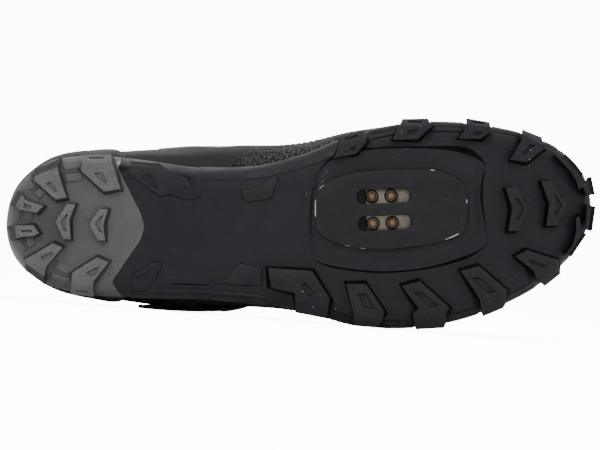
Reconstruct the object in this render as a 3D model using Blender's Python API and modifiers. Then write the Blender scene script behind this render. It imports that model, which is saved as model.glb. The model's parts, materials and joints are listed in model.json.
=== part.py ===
"""Cycling shoe for the left foot, lying on its outer side with the sole facing -Y.

The pieces are modelled standing: X runs from heel to toe, +Y is the outer side, Z is the height over
the tread. An empty then lays the whole shoe on its outer side, on the face of its convex hull that
carries its centre of mass.
"""
import math
from collections import namedtuple

import bmesh
import bpy
import numpy as np
from mathutils import Matrix, Vector

# Driving sizes, in metres
SOLE_LENGTH = 0.303
BALL_WIDTH = 0.106
LUG_HEIGHT = 0.005
LUG_OVERHANG = 0.0006
LUG_DRAFT = 0.0008
LUG_SIDE_HEIGHT = 0.0085
LUG_BEVEL = 0.0035
POCKET_DEPTH = 0.0014
ARCH_RISE = 0.006
TOE_SPRING = 0.020
HEEL_BEVEL = 0.003
OUTSOLE_HEEL = 0.0105
OUTSOLE_BALL = 0.0075
MIDSOLE_HEEL = 0.0075
MIDSOLE_BALL = 0.0048
INSOLE_THICKNESS = 0.004
WALL = 0.002
SEAM_GAP = 0.0003
CURVED_GAP = 0.0007
TONGUE_GAP = 0.0019
FEATHER_INSET = 0.0025
MIDSOLE_INSET = 0.0012
INSTEP_HEIGHT = 0.118
COLLAR_HEIGHT = 0.100
THROAT_HALF_WIDTH = 0.017
INNER_BULGE = 0.0145
OUTER_BULGE = 0.0075
END_BULGE = 0.0024
END_REACH = 0.12
COUNTER_THICKNESS = 0.0012
COUNTER_HEIGHT = 0.036
STRAP_THICKNESS = 0.0018
TONGUE_THICKNESS = 0.004
TONGUE_HALF_WIDTH = 0.027
PLATFORM_LENGTH = 0.093
PLATFORM_WIDTH = 0.063
PLATFORM_HEIGHT = 0.0012
PAD_LENGTH = 0.079
PAD_WIDTH = 0.0415
PAD_THICKNESS = 0.0026
PAD_TURN = math.radians(-2.4)
SLOT_LENGTH = 0.028
SLOT_WIDTH = 0.0076
SLOT_SPACING = 0.014
BUSH_SPACING = 0.010
BUSH_RADIUS = 0.0034
BUSH_HOLE_RADIUS = 0.0021
BUSH_HEIGHT = 0.0017
PLATE_LENGTH = 0.025
PLATE_WIDTH = 0.0225
PLATE_THICKNESS = 0.0015
RECESS_DEPTH = 0.0035

# Plan of the sole: along as a share of the length, sides as shares of the ball width
Plan = namedtuple("Plan", "along inner outer")
SOLE_PLAN = [
    Plan(0.000, 0.004, 0.004),
    Plan(0.013, -0.160, 0.146),
    Plan(0.040, -0.250, 0.231),
    Plan(0.083, -0.320, 0.304),
    Plan(0.149, -0.338, 0.344),
    Plan(0.231, -0.318, 0.354),
    Plan(0.330, -0.281, 0.359),
    Plan(0.429, -0.287, 0.384),
    Plan(0.512, -0.347, 0.423),
    Plan(0.594, -0.442, 0.484),
    Plan(0.677, -0.492, 0.501),
    Plan(0.759, -0.501, 0.470),
    Plan(0.842, -0.472, 0.392),
    Plan(0.908, -0.420, 0.294),
    Plan(0.957, -0.344, 0.175),
    Plan(0.987, -0.245, 0.057),
    Plan(1.000, -0.094, -0.094),
]

# Last: ridge height as a share of the instep height, ridge side as a share of the ball width,
# squareness of the section, bulges as shares of the two named bulges
Last = namedtuple("Last", "along ridge ridge_side squareness inner_bulge outer_bulge")
LAST = [
    Last(0.00, 1.150, 0.000, 4.2, 0.17, 0.30),
    Last(0.14, 1.165, 0.000, 4.2, 0.28, 0.40),
    Last(0.24, 1.175, 0.000, 4.0, 0.60, 0.85),
    Last(0.31, 1.140, 0.000, 3.7, 0.93, 1.00),
    Last(0.36, 1.000, 0.000, 3.3, 1.00, 0.88),
    Last(0.43, 0.905, -0.010, 3.0, 0.96, 0.64),
    Last(0.52, 0.790, -0.025, 2.8, 0.58, 0.45),
    Last(0.62, 0.665, -0.045, 2.7, 0.24, 0.46),
    Last(0.71, 0.565, -0.065, 2.7, 0.16, 0.36),
    Last(0.82, 0.515, -0.085, 2.7, 0.12, 0.22),
    Last(0.90, 0.475, -0.100, 2.6, 0.10, 0.22),
    Last(1.00, 0.420, -0.110, 2.5, 0.08, 0.20),
]

# Collar edge: heights over the tread as shares of the collar height
Collar = namedtuple("Collar", "along inner outer")
COLLAR = [
    Collar(0.00, 1.00, 1.00),
    Collar(0.07, 0.97, 0.96),
    Collar(0.15, 0.87, 0.84),
    Collar(0.23, 0.83, 0.79),
    Collar(0.29, 0.89, 0.86),
    Collar(0.33, 1.02, 1.00),
    Collar(0.36, 1.30, 1.30),
    Collar(1.00, 1.30, 1.30),
]
THROAT_START = 0.30
THROAT_FRONT = 0.625

# Edge lugs: stations along the sole's edge where the lug meets the edge and where its tip points,
# as shares of the length; reach and shoulders as shares of the ball width
Lug = namedtuple("Lug", "side edge_rear edge_front tip_rear tip_front reach rear_shoulder front_shoulder")
INNER = -1
OUTER = 1
FOREFOOT_LUGS = [
    Lug(INNER, 0.559, 0.607, 0.566, 0.606, 0.105, 0.00, 0.00),
    Lug(INNER, 0.677, 0.717, 0.664, 0.704, 0.108, 0.00, 0.02),
    Lug(INNER, 0.785, 0.825, 0.768, 0.806, 0.100, 0.00, 0.02),
    Lug(INNER, 0.879, 0.914, 0.872, 0.900, 0.165, 0.00, 0.03),
    Lug(INNER, 0.955, 0.990, 0.955, 0.990, 0.055, 0.00, 0.00),
    Lug(OUTER, 0.491, 0.542, 0.434, 0.508, 0.205, 0.03, 0.05),
    Lug(OUTER, 0.588, 0.632, 0.556, 0.590, 0.205, 0.00, 0.07),
    Lug(OUTER, 0.697, 0.746, 0.678, 0.708, 0.215, 0.00, 0.07),
    Lug(OUTER, 0.808, 0.850, 0.803, 0.830, 0.235, 0.00, 0.07),
    Lug(OUTER, 0.904, 0.942, 0.905, 0.924, 0.210, 0.00, 0.05),
    Lug(OUTER, 0.966, 0.996, 0.966, 0.996, 0.060, 0.00, 0.00),
]
ARCH_LUGS = [
    Lug(INNER, 0.217, 0.266, 0.226, 0.268, 0.185, 0.00, 0.00),
    Lug(OUTER, 0.215, 0.256, 0.219, 0.252, 0.175, 0.00, 0.00),
]
HEEL_LUGS = [
    Lug(INNER, 0.127, 0.180, 0.165, 0.192, 0.165, 0.06, 0.00),
    Lug(INNER, 0.050, 0.085, 0.062, 0.080, 0.170, 0.05, 0.02),
    Lug(INNER, 0.005, 0.015, 0.004, 0.016, 0.155, 0.00, 0.00),
    Lug(OUTER, 0.0001, 0.0050, 0.0001, 0.0060, 0.145, 0.00, 0.00),
    Lug(OUTER, 0.033, 0.063, 0.046, 0.060, 0.165, 0.04, 0.00),
    Lug(OUTER, 0.110, 0.148, 0.141, 0.162, 0.165, 0.05, 0.00),
]
LUG_INNER_SHARE = 0.42
POCKET_SHARE = 0.46

# Chevron lugs: place of the point, which way it points, arms and thicknesses
Chevron = namedtuple("Chevron", "along side points half_span sweep thickness arm_thickness")
HEEL_CHEVRONS = [
    Chevron(0.084, -0.017, -1, 0.087, 0.018, 0.023, 0.0125),
    Chevron(0.142, -0.005, -1, 0.078, 0.016, 0.023, 0.0135),
]
TOE_CHEVRONS = [
    Chevron(0.891, -0.083, 1, 0.108, 0.022, 0.028, 0.017),
    Chevron(0.957, -0.098, 1, 0.110, 0.022, 0.031, 0.018),
]

# Heel boundary: where the grey heel meets the black outsole
Boundary = namedtuple("Boundary", "along side")
HEEL_BOUNDARY = [
    Boundary(0.214, -0.700),
    Boundary(0.210, -0.327),
    Boundary(0.190, -0.283),
    Boundary(0.229, -0.050),
    Boundary(0.235, 0.014),
    Boundary(0.228, 0.075),
    Boundary(0.179, 0.278),
    Boundary(0.191, 0.327),
    Boundary(0.204, 0.347),
    Boundary(0.208, 0.700),
]

# Straps: middle of the band where it crosses the ridge and at its two ends, as shares of the length,
# band width in metres, and where the ends lie between sole (0) and ridge (1)
Strap = namedtuple("Strap", "name crossing inner_end outer_end width inner_reach outer_reach")
STRAPS = [
    Strap("instep_strap", 0.415, 0.395, 0.294, 0.044, 0.50, 0.10),
    Strap("middle_strap", 0.552, 0.535, 0.474, 0.025, 0.50, 0.44),
    Strap("toe_strap", 0.658, 0.652, 0.602, 0.024, 0.52, 0.48),
]

# Places as shares of the length and the ball width
PAD_ALONG = 0.656
PAD_SIDE = -0.078
PLATFORM_ALONG = 0.672
PLATFORM_SIDE = -0.070
SLOTS_ALONG = 0.644
SLOTS_SIDE = -0.0755
COUNTER_FRONT_LOW = 0.201
COUNTER_FRONT_HIGH = 0.150
TONGUE_TOP = 0.315
TONGUE_FRONT = 0.665

# How finely the curved pieces are divided
SOLE_STATIONS = 34
UPPER_STATIONS = 40
UPPER_ROWS = 10
ROUND_STEPS = 14

# Rubber, leather, steel and foam, in kg per cubic metre, for the centre of mass
RUBBER_DENSITY = 1150
SOFT_DENSITY = 800
STEEL_DENSITY = 7800
FOAM_DENSITY = 300

# Power that puts the widest part of the upper low on its sides
SWELL_POWER = 0.42
MERGE = 0.00001


def smooth_value(rows, column, along):
    """Value of a table's column at a share of the length, on a smooth curve through the rows."""
    angles = [turn_of(row.along) for row in rows]
    values = [getattr(row, column) for row in rows]
    angle = min(max(turn_of(along), angles[0]), angles[-1])
    index = int(np.searchsorted(angles, angle, side="right")) - 1
    index = min(max(index, 0), len(rows) - 2)
    span = angles[index + 1] - angles[index]
    share = (angle - angles[index]) / span

    def slope(at):
        low = max(at - 1, 0)
        high = min(at + 1, len(rows) - 1)
        return (values[high] - values[low]) / (angles[high] - angles[low])

    start = slope(index) * span
    end = slope(index + 1) * span
    first = values[index]
    last = values[index + 1]
    cubic = 2 * first - 2 * last + start + end
    square = -3 * first + 3 * last - 2 * start - end
    return ((cubic * share + square) * share + start) * share + first


def turn_of(along):
    """Angle whose cosine gives a share of the length, so that the ends of the plan are round."""
    return math.acos(min(max(1 - 2 * along, -1), 1))


def along_of(turn):
    """Share of the length at an angle from 0 at the heel to pi at the toe."""
    return (1 - math.cos(turn)) / 2


def edge_point(side, along):
    """Point of the sole's edge in plan."""
    column = "outer" if side > 0 else "inner"
    return Vector((along * SOLE_LENGTH, smooth_value(SOLE_PLAN, column, along) * BALL_WIDTH))


def edge_normal(side, along):
    """Outward direction of the sole's edge in plan."""
    turn = turn_of(along)
    step = 0.004
    low = turn - step
    high = turn + step
    if low < 0:
        before = edge_point(-side, along_of(-low))
    else:
        before = edge_point(side, along_of(low))
    if high > math.pi:
        after = edge_point(-side, along_of(2 * math.pi - high))
    else:
        after = edge_point(side, along_of(high))
    tangent = (after - before).normalized()
    return Vector((-tangent.y, tangent.x)) * side


def plan_point(side, along, inset):
    """Point in plan at a distance inside the sole's edge."""
    return edge_point(side, along) - edge_normal(side, along) * inset


def arch(along):
    """Share of the arch's rise, from 0 at heel and ball to 1 at the waist."""
    away = abs(along - 0.385) / 0.20
    return math.cos(math.pi / 2 * away) ** 2 if away < 1 else 0.0


def sole_blend(along):
    """Share of the way from heel thickness to ball thickness."""
    share = min(max((along - 0.22) / 0.30, 0), 1)
    return share * share * (3 - 2 * share)


def base_height(along):
    """Height of the sole's underside between the lugs."""
    toe = max(along - 0.70, 0) / 0.30
    heel = max(0.07 - along, 0) / 0.07
    return LUG_HEIGHT + ARCH_RISE * arch(along) + TOE_SPRING * toe ** 2 + HEEL_BEVEL * heel ** 2


def outsole_top(along):
    """Height of the outsole's upper face."""
    thickness = OUTSOLE_HEEL + (OUTSOLE_BALL - OUTSOLE_HEEL) * sole_blend(along)
    return base_height(along) + thickness * (1 - 0.18 * arch(along))


def foot_height(along):
    """Height of the midsole's upper face, which carries upper and insole."""
    thickness = MIDSOLE_HEEL + (MIDSOLE_BALL - MIDSOLE_HEEL) * sole_blend(along)
    return outsole_top(along) + SEAM_GAP + thickness


def ridge_along(along):
    """Where the last's section that starts at a station of the edge meets the ridge."""
    heel = max(0.30 - along, 0) / 0.30
    toe = max(along - 0.80, 0) / 0.20
    return along + 0.148 * heel ** 2 - 0.085 * toe ** 2


def bulge(side, along):
    """How far the upper swells past its foot line, the same on both sides at heel and toe."""
    inner = smooth_value(LAST, "inner_bulge", along) * INNER_BULGE
    outer = smooth_value(LAST, "outer_bulge", along) * OUTER_BULGE
    end = max(1 - min(along, 1 - along) / END_REACH, 0) ** 2
    return END_BULGE * end + (outer if side > 0 else inner) * (1 - end)


def foot_line(side, along):
    """Point where the upper meets the midsole."""
    foot = plan_point(side, along, FEATHER_INSET)
    return Vector((foot.x, foot.y, foot_height(foot.x / SOLE_LENGTH) + SEAM_GAP))


def last_point(side, along, angle):
    """Point of the upper's outer surface, from the sole (angle 0) to the ridge (a quarter turn)."""
    foot = foot_line(side, along)
    low = foot.z
    top_along = ridge_along(along)
    top = smooth_value(LAST, "ridge", top_along) * INSTEP_HEIGHT
    middle = smooth_value(LAST, "ridge_side", top_along) * BALL_WIDTH
    power = 2 / smooth_value(LAST, "squareness", along)
    inward = 1 - max(math.cos(angle), 0) ** power
    upward = max(math.sin(angle), 0) ** power
    ridge = Vector((top_along * SOLE_LENGTH, middle))
    foot = foot.xy
    swell = bulge(side, along) * math.sin(math.pi * upward ** SWELL_POWER)
    plan = foot + (ridge - foot) * inward + edge_normal(side, along) * swell
    return Vector((plan.x, plan.y, low + (top - low) * upward))


def last_normal(side, along, angle):
    """Outward direction of the upper's surface."""
    step = 0.02
    turn = turn_of(along)
    low_turn = max(turn - step, 0)
    high_turn = min(turn + step, math.pi)
    low_angle = max(angle - step, 0.002)
    high_angle = min(max(angle, 0.002) + step, math.pi / 2)
    forward = last_point(side, along_of(high_turn), angle) - last_point(side, along_of(low_turn), angle)
    if turn < step or turn > math.pi - step:
        plan = edge_normal(side, along)
        forward = Vector((plan.y, -plan.x, 0)) * side
    upward = last_point(side, along, high_angle) - last_point(side, along, low_angle)
    return forward.cross(upward).normalized() * -side


def shell_point(side, along, angle, offset):
    """Point at a distance outside the upper's surface."""
    return last_point(side, along, angle) + last_normal(side, along, angle) * offset


def quarter(share):
    """Angle at a share of the way from sole to ridge, with the steps even in height."""
    return math.pi / 2 * share ** 1.7


def angle_beside_ridge(side, along, away):
    """Angle of the point at a distance to one side of the ridge."""
    middle = smooth_value(LAST, "ridge_side", ridge_along(along)) * BALL_WIDTH
    reach = abs(foot_line(side, along).y - middle) + bulge(side, along)
    power = 2 / smooth_value(LAST, "squareness", along)
    return math.acos(min(away / reach, 1) ** (1 / power))


def edge_angle(side, along):
    """Angle of the collar's or the throat's edge, a quarter turn where the upper is closed."""
    column = "outer" if side > 0 else "inner"
    low = foot_line(side, along).z
    top = smooth_value(LAST, "ridge", ridge_along(along)) * INSTEP_HEIGHT
    power = 2 / smooth_value(LAST, "squareness", along)
    height = smooth_value(COLLAR, column, along) * COLLAR_HEIGHT
    share = min((height - low) / (top - low), 1)
    collar_angle = math.asin(share ** (1 / power))
    if along < THROAT_START or along > THROAT_FRONT:
        return collar_angle
    travel = (along - THROAT_START) / (THROAT_FRONT - THROAT_START)
    half = THROAT_HALF_WIDTH * math.sqrt(1 - travel ** 6)
    return min(collar_angle, angle_beside_ridge(side, along, half))


def new_object(name, mesh, collection, carrier):
    """Object for a mesh, carried by the empty that lays the shoe down."""
    thing = bpy.data.objects.new(name, mesh)
    collection.objects.link(thing)
    thing.parent = carrier
    return thing


def mesh_of(name, shape):
    """Mesh with outward faces from a bmesh, which is freed."""
    bmesh.ops.recalc_face_normals(shape, faces=shape.faces)
    mesh = bpy.data.meshes.new(name)
    shape.to_mesh(mesh)
    shape.free()
    return mesh


def sheet(name, point, along, across):
    """Mesh of a grid whose corners a function places, with coinciding corners merged."""
    shape = bmesh.new()
    bmesh.ops.create_grid(shape, x_segments=along, y_segments=across, size=0.5)
    for corner in shape.verts:
        corner.co = point(corner.co.x + 0.5, corner.co.y + 0.5)
    bmesh.ops.remove_doubles(shape, verts=shape.verts, dist=MERGE)
    return mesh_of(name, shape)


def around(share):
    """Side and station for a share of the way round, from the heel by the outer side to the toe."""
    if share <= 0.5:
        return OUTER, along_of(math.pi * 2 * share)
    return INNER, along_of(math.pi * 2 * (1 - share))


def slab(name, rings, stations):
    """Closed slab with the sole's plan, from rings of an inset and a height function."""
    rows = len(rings) + 1

    def point(share, level):
        side, along = around(share)
        ring = min(max(round(level * rows), 0), rows)
        inset, height = rings[min(max(ring - 1, 0), len(rings) - 1)]
        spot = plan_point(side, along, inset)
        if ring in (0, rows):
            spot = (spot + plan_point(-side, along, inset)) / 2
        return Vector((spot.x, spot.y, height(spot.x / SOLE_LENGTH)))

    return sheet(name, point, 2 * stations, rows)


def hull(shape, points):
    """Adds the convex hull of some points to a bmesh."""
    corners = [shape.verts.new(point) for point in points]
    result = bmesh.ops.convex_hull(shape, input=corners)
    spare = [item for item in result["geom_interior"] if isinstance(item, bmesh.types.BMVert)]
    bmesh.ops.delete(shape, geom=spare, context="VERTS")


def prism(shape, outline, low, high):
    """Adds an upright prism on an outline in plan to a bmesh."""
    corners = [shape.verts.new((spot[0], spot[1], low)) for spot in outline]
    face = shape.faces.new(corners)
    result = bmesh.ops.extrude_face_region(shape, geom=[face])
    raised = [item for item in result["geom"] if isinstance(item, bmesh.types.BMVert)]
    bmesh.ops.translate(shape, verts=raised, vec=(0, 0, high - low))


def lug_corners(lug):
    """Corners of a lug's tread face in plan, from its edge round its tip."""
    reach = lug.reach * BALL_WIDTH
    shoulder_reach = reach * LUG_INNER_SHARE
    widen = BALL_WIDTH / SOLE_LENGTH
    corners = [
        plan_point(lug.side, lug.edge_rear, LUG_BEVEL),
        plan_point(lug.side, lug.edge_front, LUG_BEVEL),
        plan_point(lug.side, min(lug.edge_front + lug.front_shoulder * widen, 1), shoulder_reach),
        plan_point(lug.side, lug.tip_front, reach),
        plan_point(lug.side, lug.tip_rear, reach),
        plan_point(lug.side, max(lug.edge_rear - lug.rear_shoulder * widen / 2, 0), shoulder_reach),
    ]
    return corners


def tread_plane(middle):
    """Height function of the flat tread face of a lug around a station."""
    step = 0.01
    low = base_height(max(middle - step, 0))
    high = base_height(min(middle + step, 1))
    run = (min(middle + step, 1) - max(middle - step, 0)) * SOLE_LENGTH
    slope = (high - low) / run
    start = base_height(middle) - LUG_HEIGHT

    def height(x):
        return start + slope * (x - middle * SOLE_LENGTH)

    return height


def add_lug(shape, lug):
    """Adds an edge lug: flat tread face, bevelled edge and a side that climbs the sole's wall."""
    corners = lug_corners(lug)
    middle = sum(corner.x for corner in corners) / len(corners)
    height = tread_plane(middle / SOLE_LENGTH)
    centre = sum(corners, Vector((0, 0))) / len(corners)
    points = []
    for corner in corners:
        root = corner + (corner - centre).normalized() * LUG_DRAFT
        points.append((corner.x, corner.y, height(corner.x)))
        points.append((root.x, root.y, height(root.x) + LUG_HEIGHT + LUG_DRAFT))
    for along in (lug.edge_rear, lug.edge_front):
        side = plan_point(lug.side, along, -LUG_OVERHANG)
        wall = plan_point(lug.side, along, -LUG_OVERHANG / 2)
        points.append((side.x, side.y, height(side.x) + LUG_BEVEL))
        points.append((wall.x, wall.y, height(wall.x) + LUG_SIDE_HEIGHT))
        deep = plan_point(lug.side, along, LUG_BEVEL)
        points.append((deep.x, deep.y, height(deep.x) + LUG_SIDE_HEIGHT))
    hull(shape, points)


def add_lug_pocket(shape, lug):
    """Adds the cutter of the shallow pocket in a lug's tread face."""
    corners = lug_corners(lug)
    centre = sum(corners, Vector((0, 0))) / len(corners)
    height = tread_plane(centre.x / SOLE_LENGTH)
    points = []
    for corner in corners:
        rim = centre + (corner - centre) * POCKET_SHARE
        points.append((rim.x, rim.y, height(rim.x) - POCKET_DEPTH))
        points.append((rim.x, rim.y, height(rim.x) + POCKET_DEPTH))
    hull(shape, points)


def chevron_outline(chevron, shrink):
    """Outline of a chevron in plan, drawn in all round by a length."""
    tip = chevron.along * SOLE_LENGTH
    side = chevron.side * BALL_WIDTH
    span = chevron.half_span * BALL_WIDTH - shrink
    sweep = chevron.sweep * SOLE_LENGTH
    thick = chevron.thickness * SOLE_LENGTH
    arm = chevron.arm_thickness * SOLE_LENGTH
    back = -chevron.points
    return [
        Vector((tip + back * shrink * 1.2, side)),
        Vector((tip + back * (sweep + shrink), side + span)),
        Vector((tip + back * (sweep + arm - shrink), side + span)),
        Vector((tip + back * (thick - shrink), side)),
        Vector((tip + back * (sweep + arm - shrink), side - span)),
        Vector((tip + back * (sweep + shrink), side - span)),
    ]


def add_chevron(shape, chevron):
    """Adds a chevron lug."""
    back = chevron.points * chevron.thickness / 2
    height = tread_plane(chevron.along - back)
    start = len(shape.verts)
    prism(shape, chevron_outline(chevron, 0), 0, LUG_HEIGHT + LUG_DRAFT)
    shape.verts.ensure_lookup_table()
    for corner in shape.verts[start:]:
        corner.co.z += height(corner.co.x)


def add_chevron_pocket(shape, chevron):
    """Adds the cutter of the pocket in a chevron's tread face."""
    back = chevron.points * chevron.thickness / 2
    height = tread_plane(chevron.along - back)
    start = len(shape.verts)
    prism(shape, chevron_outline(chevron, POCKET_DEPTH), -POCKET_DEPTH, POCKET_DEPTH)
    shape.verts.ensure_lookup_table()
    for corner in shape.verts[start:]:
        corner.co.z += height(corner.co.x)


def rounded_outline(along, side, length, width, square, taper, steps):
    """Rounded outline in plan around a point, narrower towards the heel, turned with the cleat pad."""
    outline = []
    for step in range(steps):
        angle = 2 * math.pi * step / steps
        power = 2 / square
        x = math.copysign(abs(math.cos(angle)) ** power, math.cos(angle))
        y = math.copysign(abs(math.sin(angle)) ** power, math.sin(angle))
        y *= 1 - taper * max(-x, 0) ** 2
        spot = Vector((x * length / 2, y * width / 2))
        spot.rotate(Matrix.Rotation(PAD_TURN, 2))
        outline.append(spot + Vector((along * SOLE_LENGTH, side * BALL_WIDTH)))
    return outline


def slot_outline(row, length, width):
    """Outline of a straight slot with round ends, one of the two rows of the cleat pad."""
    centre = Vector((0, row * SLOT_SPACING / 2))
    outline = []
    for end in (1, -1):
        for step in range(ROUND_STEPS // 2 + 1):
            angle = math.pi * step / (ROUND_STEPS // 2) - math.pi / 2
            x = end * ((length - width) / 2 + width / 2 * math.cos(angle))
            y = end * width / 2 * math.sin(angle)
            outline.append(turned_with_pad(centre + Vector((x, y))))
    return outline


def turned_with_pad(spot):
    """Place in plan of a point given from the middle of the slots."""
    turned = spot.copy()
    turned.rotate(Matrix.Rotation(PAD_TURN, 2))
    return turned + Vector((SLOTS_ALONG * SOLE_LENGTH, SLOTS_SIDE * BALL_WIDTH))


def boolean(thing, other, operation):
    """Joins or cuts one object with another."""
    step = thing.modifiers.new(other.name, "BOOLEAN")
    step.operation = operation
    step.solver = "EXACT"
    step.object = other
    step.use_self = operation == "UNION"


def solidify(thing, thickness, offset):
    """Gives an open sheet its thickness: offset 1 outwards, -1 inwards."""
    step = thing.modifiers.new("wall", "SOLIDIFY")
    step.thickness = thickness
    step.offset = offset


class Shoe:
    """Collections, carrier and materials that the pieces share."""

    def __init__(self):
        """Makes the collections, the carrier and the list of densities."""
        self.parts = bpy.data.collections.new("cycling_shoe")
        self.cutters = bpy.data.collections.new("cutters")
        bpy.context.scene.collection.children.link(self.parts)
        bpy.context.scene.collection.children.link(self.cutters)
        self.carrier = bpy.data.objects.new("laid_down", None)
        self.parts.objects.link(self.carrier)
        self.densities = {}

    def part(self, name, mesh, material, density):
        """Adds a named piece with its own material."""
        thing = new_object(name, mesh, self.parts, self.carrier)
        thing.data.materials.append(material)
        self.densities[name] = density
        return thing

    def cutter(self, name, mesh):
        """Adds a shape that only joins or cuts others."""
        thing = new_object(name, mesh, self.cutters, self.carrier)
        thing.hide_render = True
        thing.display_type = "WIRE"
        return thing


def material(name, colour, roughness, metallic=0.0):
    """Plain Principled material."""
    finish = bpy.data.materials.new(name)
    finish.use_nodes = True
    shader = finish.node_tree.nodes["Principled BSDF"]
    shader.inputs["Base Color"].default_value = (*colour, 1)
    shader.inputs["Roughness"].default_value = roughness
    shader.inputs["Metallic"].default_value = metallic
    return finish


def sole_body():
    """Mesh of the whole outsole body without lugs: rounded underside and a low side wall."""
    def at(share, rise):
        return lambda along: base_height(along) + share * (outsole_top(along) - base_height(along)) + rise

    rings = [
        (0.0100, at(0.00, 0)),
        (0.0040, at(0.12, 0)),
        (0.0012, at(0.42, 0)),
        (0.0000, at(0.78, 0)),
        (0.0008, at(1.00, 0)),
    ]
    return slab("sole_body", rings, SOLE_STATIONS)


def heel_outline(gap):
    """Outline in plan of everything behind the heel boundary, moved towards the toe by a gap."""
    outline = [(spot.along * SOLE_LENGTH + gap, spot.side * BALL_WIDTH) for spot in HEEL_BOUNDARY]
    outline.append((-0.2 * SOLE_LENGTH, HEEL_BOUNDARY[-1].side * BALL_WIDTH))
    outline.append((-0.2 * SOLE_LENGTH, HEEL_BOUNDARY[0].side * BALL_WIDTH))
    return outline


def heel_cutter(shoe, name, gap):
    """Prism over the heel for splitting the sole body."""
    shape = bmesh.new()
    prism(shape, heel_outline(gap), -0.02, 0.06)
    return shoe.cutter(name, mesh_of(name, shape))


def lug_cutter(shoe, name, lugs, chevrons, add_edge, add_middle):
    """One object with all lugs, or all pockets, of one part of the sole."""
    shape = bmesh.new()
    for lug in lugs:
        add_edge(shape, lug)
    for chevron in chevrons:
        add_middle(shape, chevron)
    return shoe.cutter(name, mesh_of(name, shape))


def build_outsole(shoe):
    """Black outsole from the arch to the toe, with platform and recess."""
    rubber = material("black_rubber", (0.030, 0.030, 0.033), 0.62)
    outsole = shoe.part("outsole", sole_body(), rubber, RUBBER_DENSITY)
    boolean(outsole, heel_cutter(shoe, "heel_with_gap", SEAM_GAP), "DIFFERENCE")
    shape = bmesh.new()
    outline = rounded_outline(PLATFORM_ALONG, PLATFORM_SIDE, PLATFORM_LENGTH, PLATFORM_WIDTH, 2.6, 0.12, 32)
    prism(shape, outline, LUG_HEIGHT - PLATFORM_HEIGHT, LUG_HEIGHT + OUTSOLE_BALL / 2)
    platform = shoe.cutter("platform", mesh_of("platform", shape))
    boolean(outsole, platform, "UNION")
    lugs = FOREFOOT_LUGS + ARCH_LUGS
    boolean(outsole, lug_cutter(shoe, "outsole_lugs", lugs, TOE_CHEVRONS, add_lug, add_chevron), "UNION")
    pockets = lug_cutter(shoe, "outsole_pockets", lugs, TOE_CHEVRONS, add_lug_pocket, add_chevron_pocket)
    boolean(outsole, pockets, "DIFFERENCE")
    shape = bmesh.new()
    length = SLOT_LENGTH + 2 * SEAM_GAP
    width = SLOT_SPACING + SLOT_WIDTH + 2 * SEAM_GAP
    corners = [(-length / 2, -width / 2), (length / 2, -width / 2), (length / 2, width / 2)]
    corners.append((-length / 2, width / 2))
    floor = LUG_HEIGHT - PLATFORM_HEIGHT
    prism(shape, [turned_with_pad(Vector(corner)) for corner in corners], -floor, floor + RECESS_DEPTH)
    boolean(outsole, shoe.cutter("plate_recess", mesh_of("plate_recess", shape)), "DIFFERENCE")
    return outsole


def build_heel(shoe):
    """Grey heel section with its lugs."""
    rubber = material("grey_rubber", (0.115, 0.115, 0.118), 0.60)
    heel = shoe.part("heel_tread", sole_body(), rubber, RUBBER_DENSITY)
    boolean(heel, heel_cutter(shoe, "heel_region", 0), "INTERSECT")
    boolean(heel, lug_cutter(shoe, "heel_lugs", HEEL_LUGS, HEEL_CHEVRONS, add_lug, add_chevron), "UNION")
    pockets = lug_cutter(
        shoe, "heel_pockets", HEEL_LUGS, HEEL_CHEVRONS, add_lug_pocket, add_chevron_pocket)
    boolean(heel, pockets, "DIFFERENCE")
    return heel


def build_cleat(shoe):
    """Slotted pad, the plate behind it and the four threaded bushes."""
    plastic = material("black_plastic", (0.028, 0.028, 0.030), 0.50)
    steel = material("plate_steel", (0.42, 0.41, 0.39), 0.38, 1.0)
    brass = material("bush_brass", (0.40, 0.26, 0.14), 0.35, 1.0)
    top = LUG_HEIGHT - PLATFORM_HEIGHT - SEAM_GAP
    shape = bmesh.new()
    prism(shape, rounded_outline(PAD_ALONG, PAD_SIDE, PAD_LENGTH, PAD_WIDTH, 3.0, 0.30, 36),
          top - PAD_THICKNESS, top)
    pad = shoe.part("cleat_pad", mesh_of("cleat_pad", shape), plastic, RUBBER_DENSITY)
    shape = bmesh.new()
    for row in (-1, 1):
        prism(shape, slot_outline(row, SLOT_LENGTH, SLOT_WIDTH), top - 2 * PAD_THICKNESS,
              top + PAD_THICKNESS)
    boolean(pad, shoe.cutter("slots", mesh_of("slots", shape)), "DIFFERENCE")
    plate_low = top + SEAM_GAP
    shift = (SLOT_LENGTH - PLATE_LENGTH) / 2 - SEAM_GAP
    half = PLATE_LENGTH / 2
    side = PLATE_WIDTH / 2 - SEAM_GAP
    corners = [(shift - half, -side), (shift + half, -side), (shift + half, side), (shift - half, side)]
    shape = bmesh.new()
    prism(shape, [turned_with_pad(Vector(corner)) for corner in corners],
          plate_low, plate_low + PLATE_THICKNESS)
    shoe.part("cleat_plate", mesh_of("cleat_plate", shape), steel, STEEL_DENSITY)
    number = 0
    for row in (-1, 1):
        for column in (-1, 1):
            number += 1
            spot = turned_with_pad(Vector((shift + column * BUSH_SPACING / 2 - shift * 2,
                                           row * SLOT_SPACING / 2)))
            build_bush(shoe, f"cleat_bush_{number}", spot, plate_low - SEAM_GAP, brass)


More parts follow.
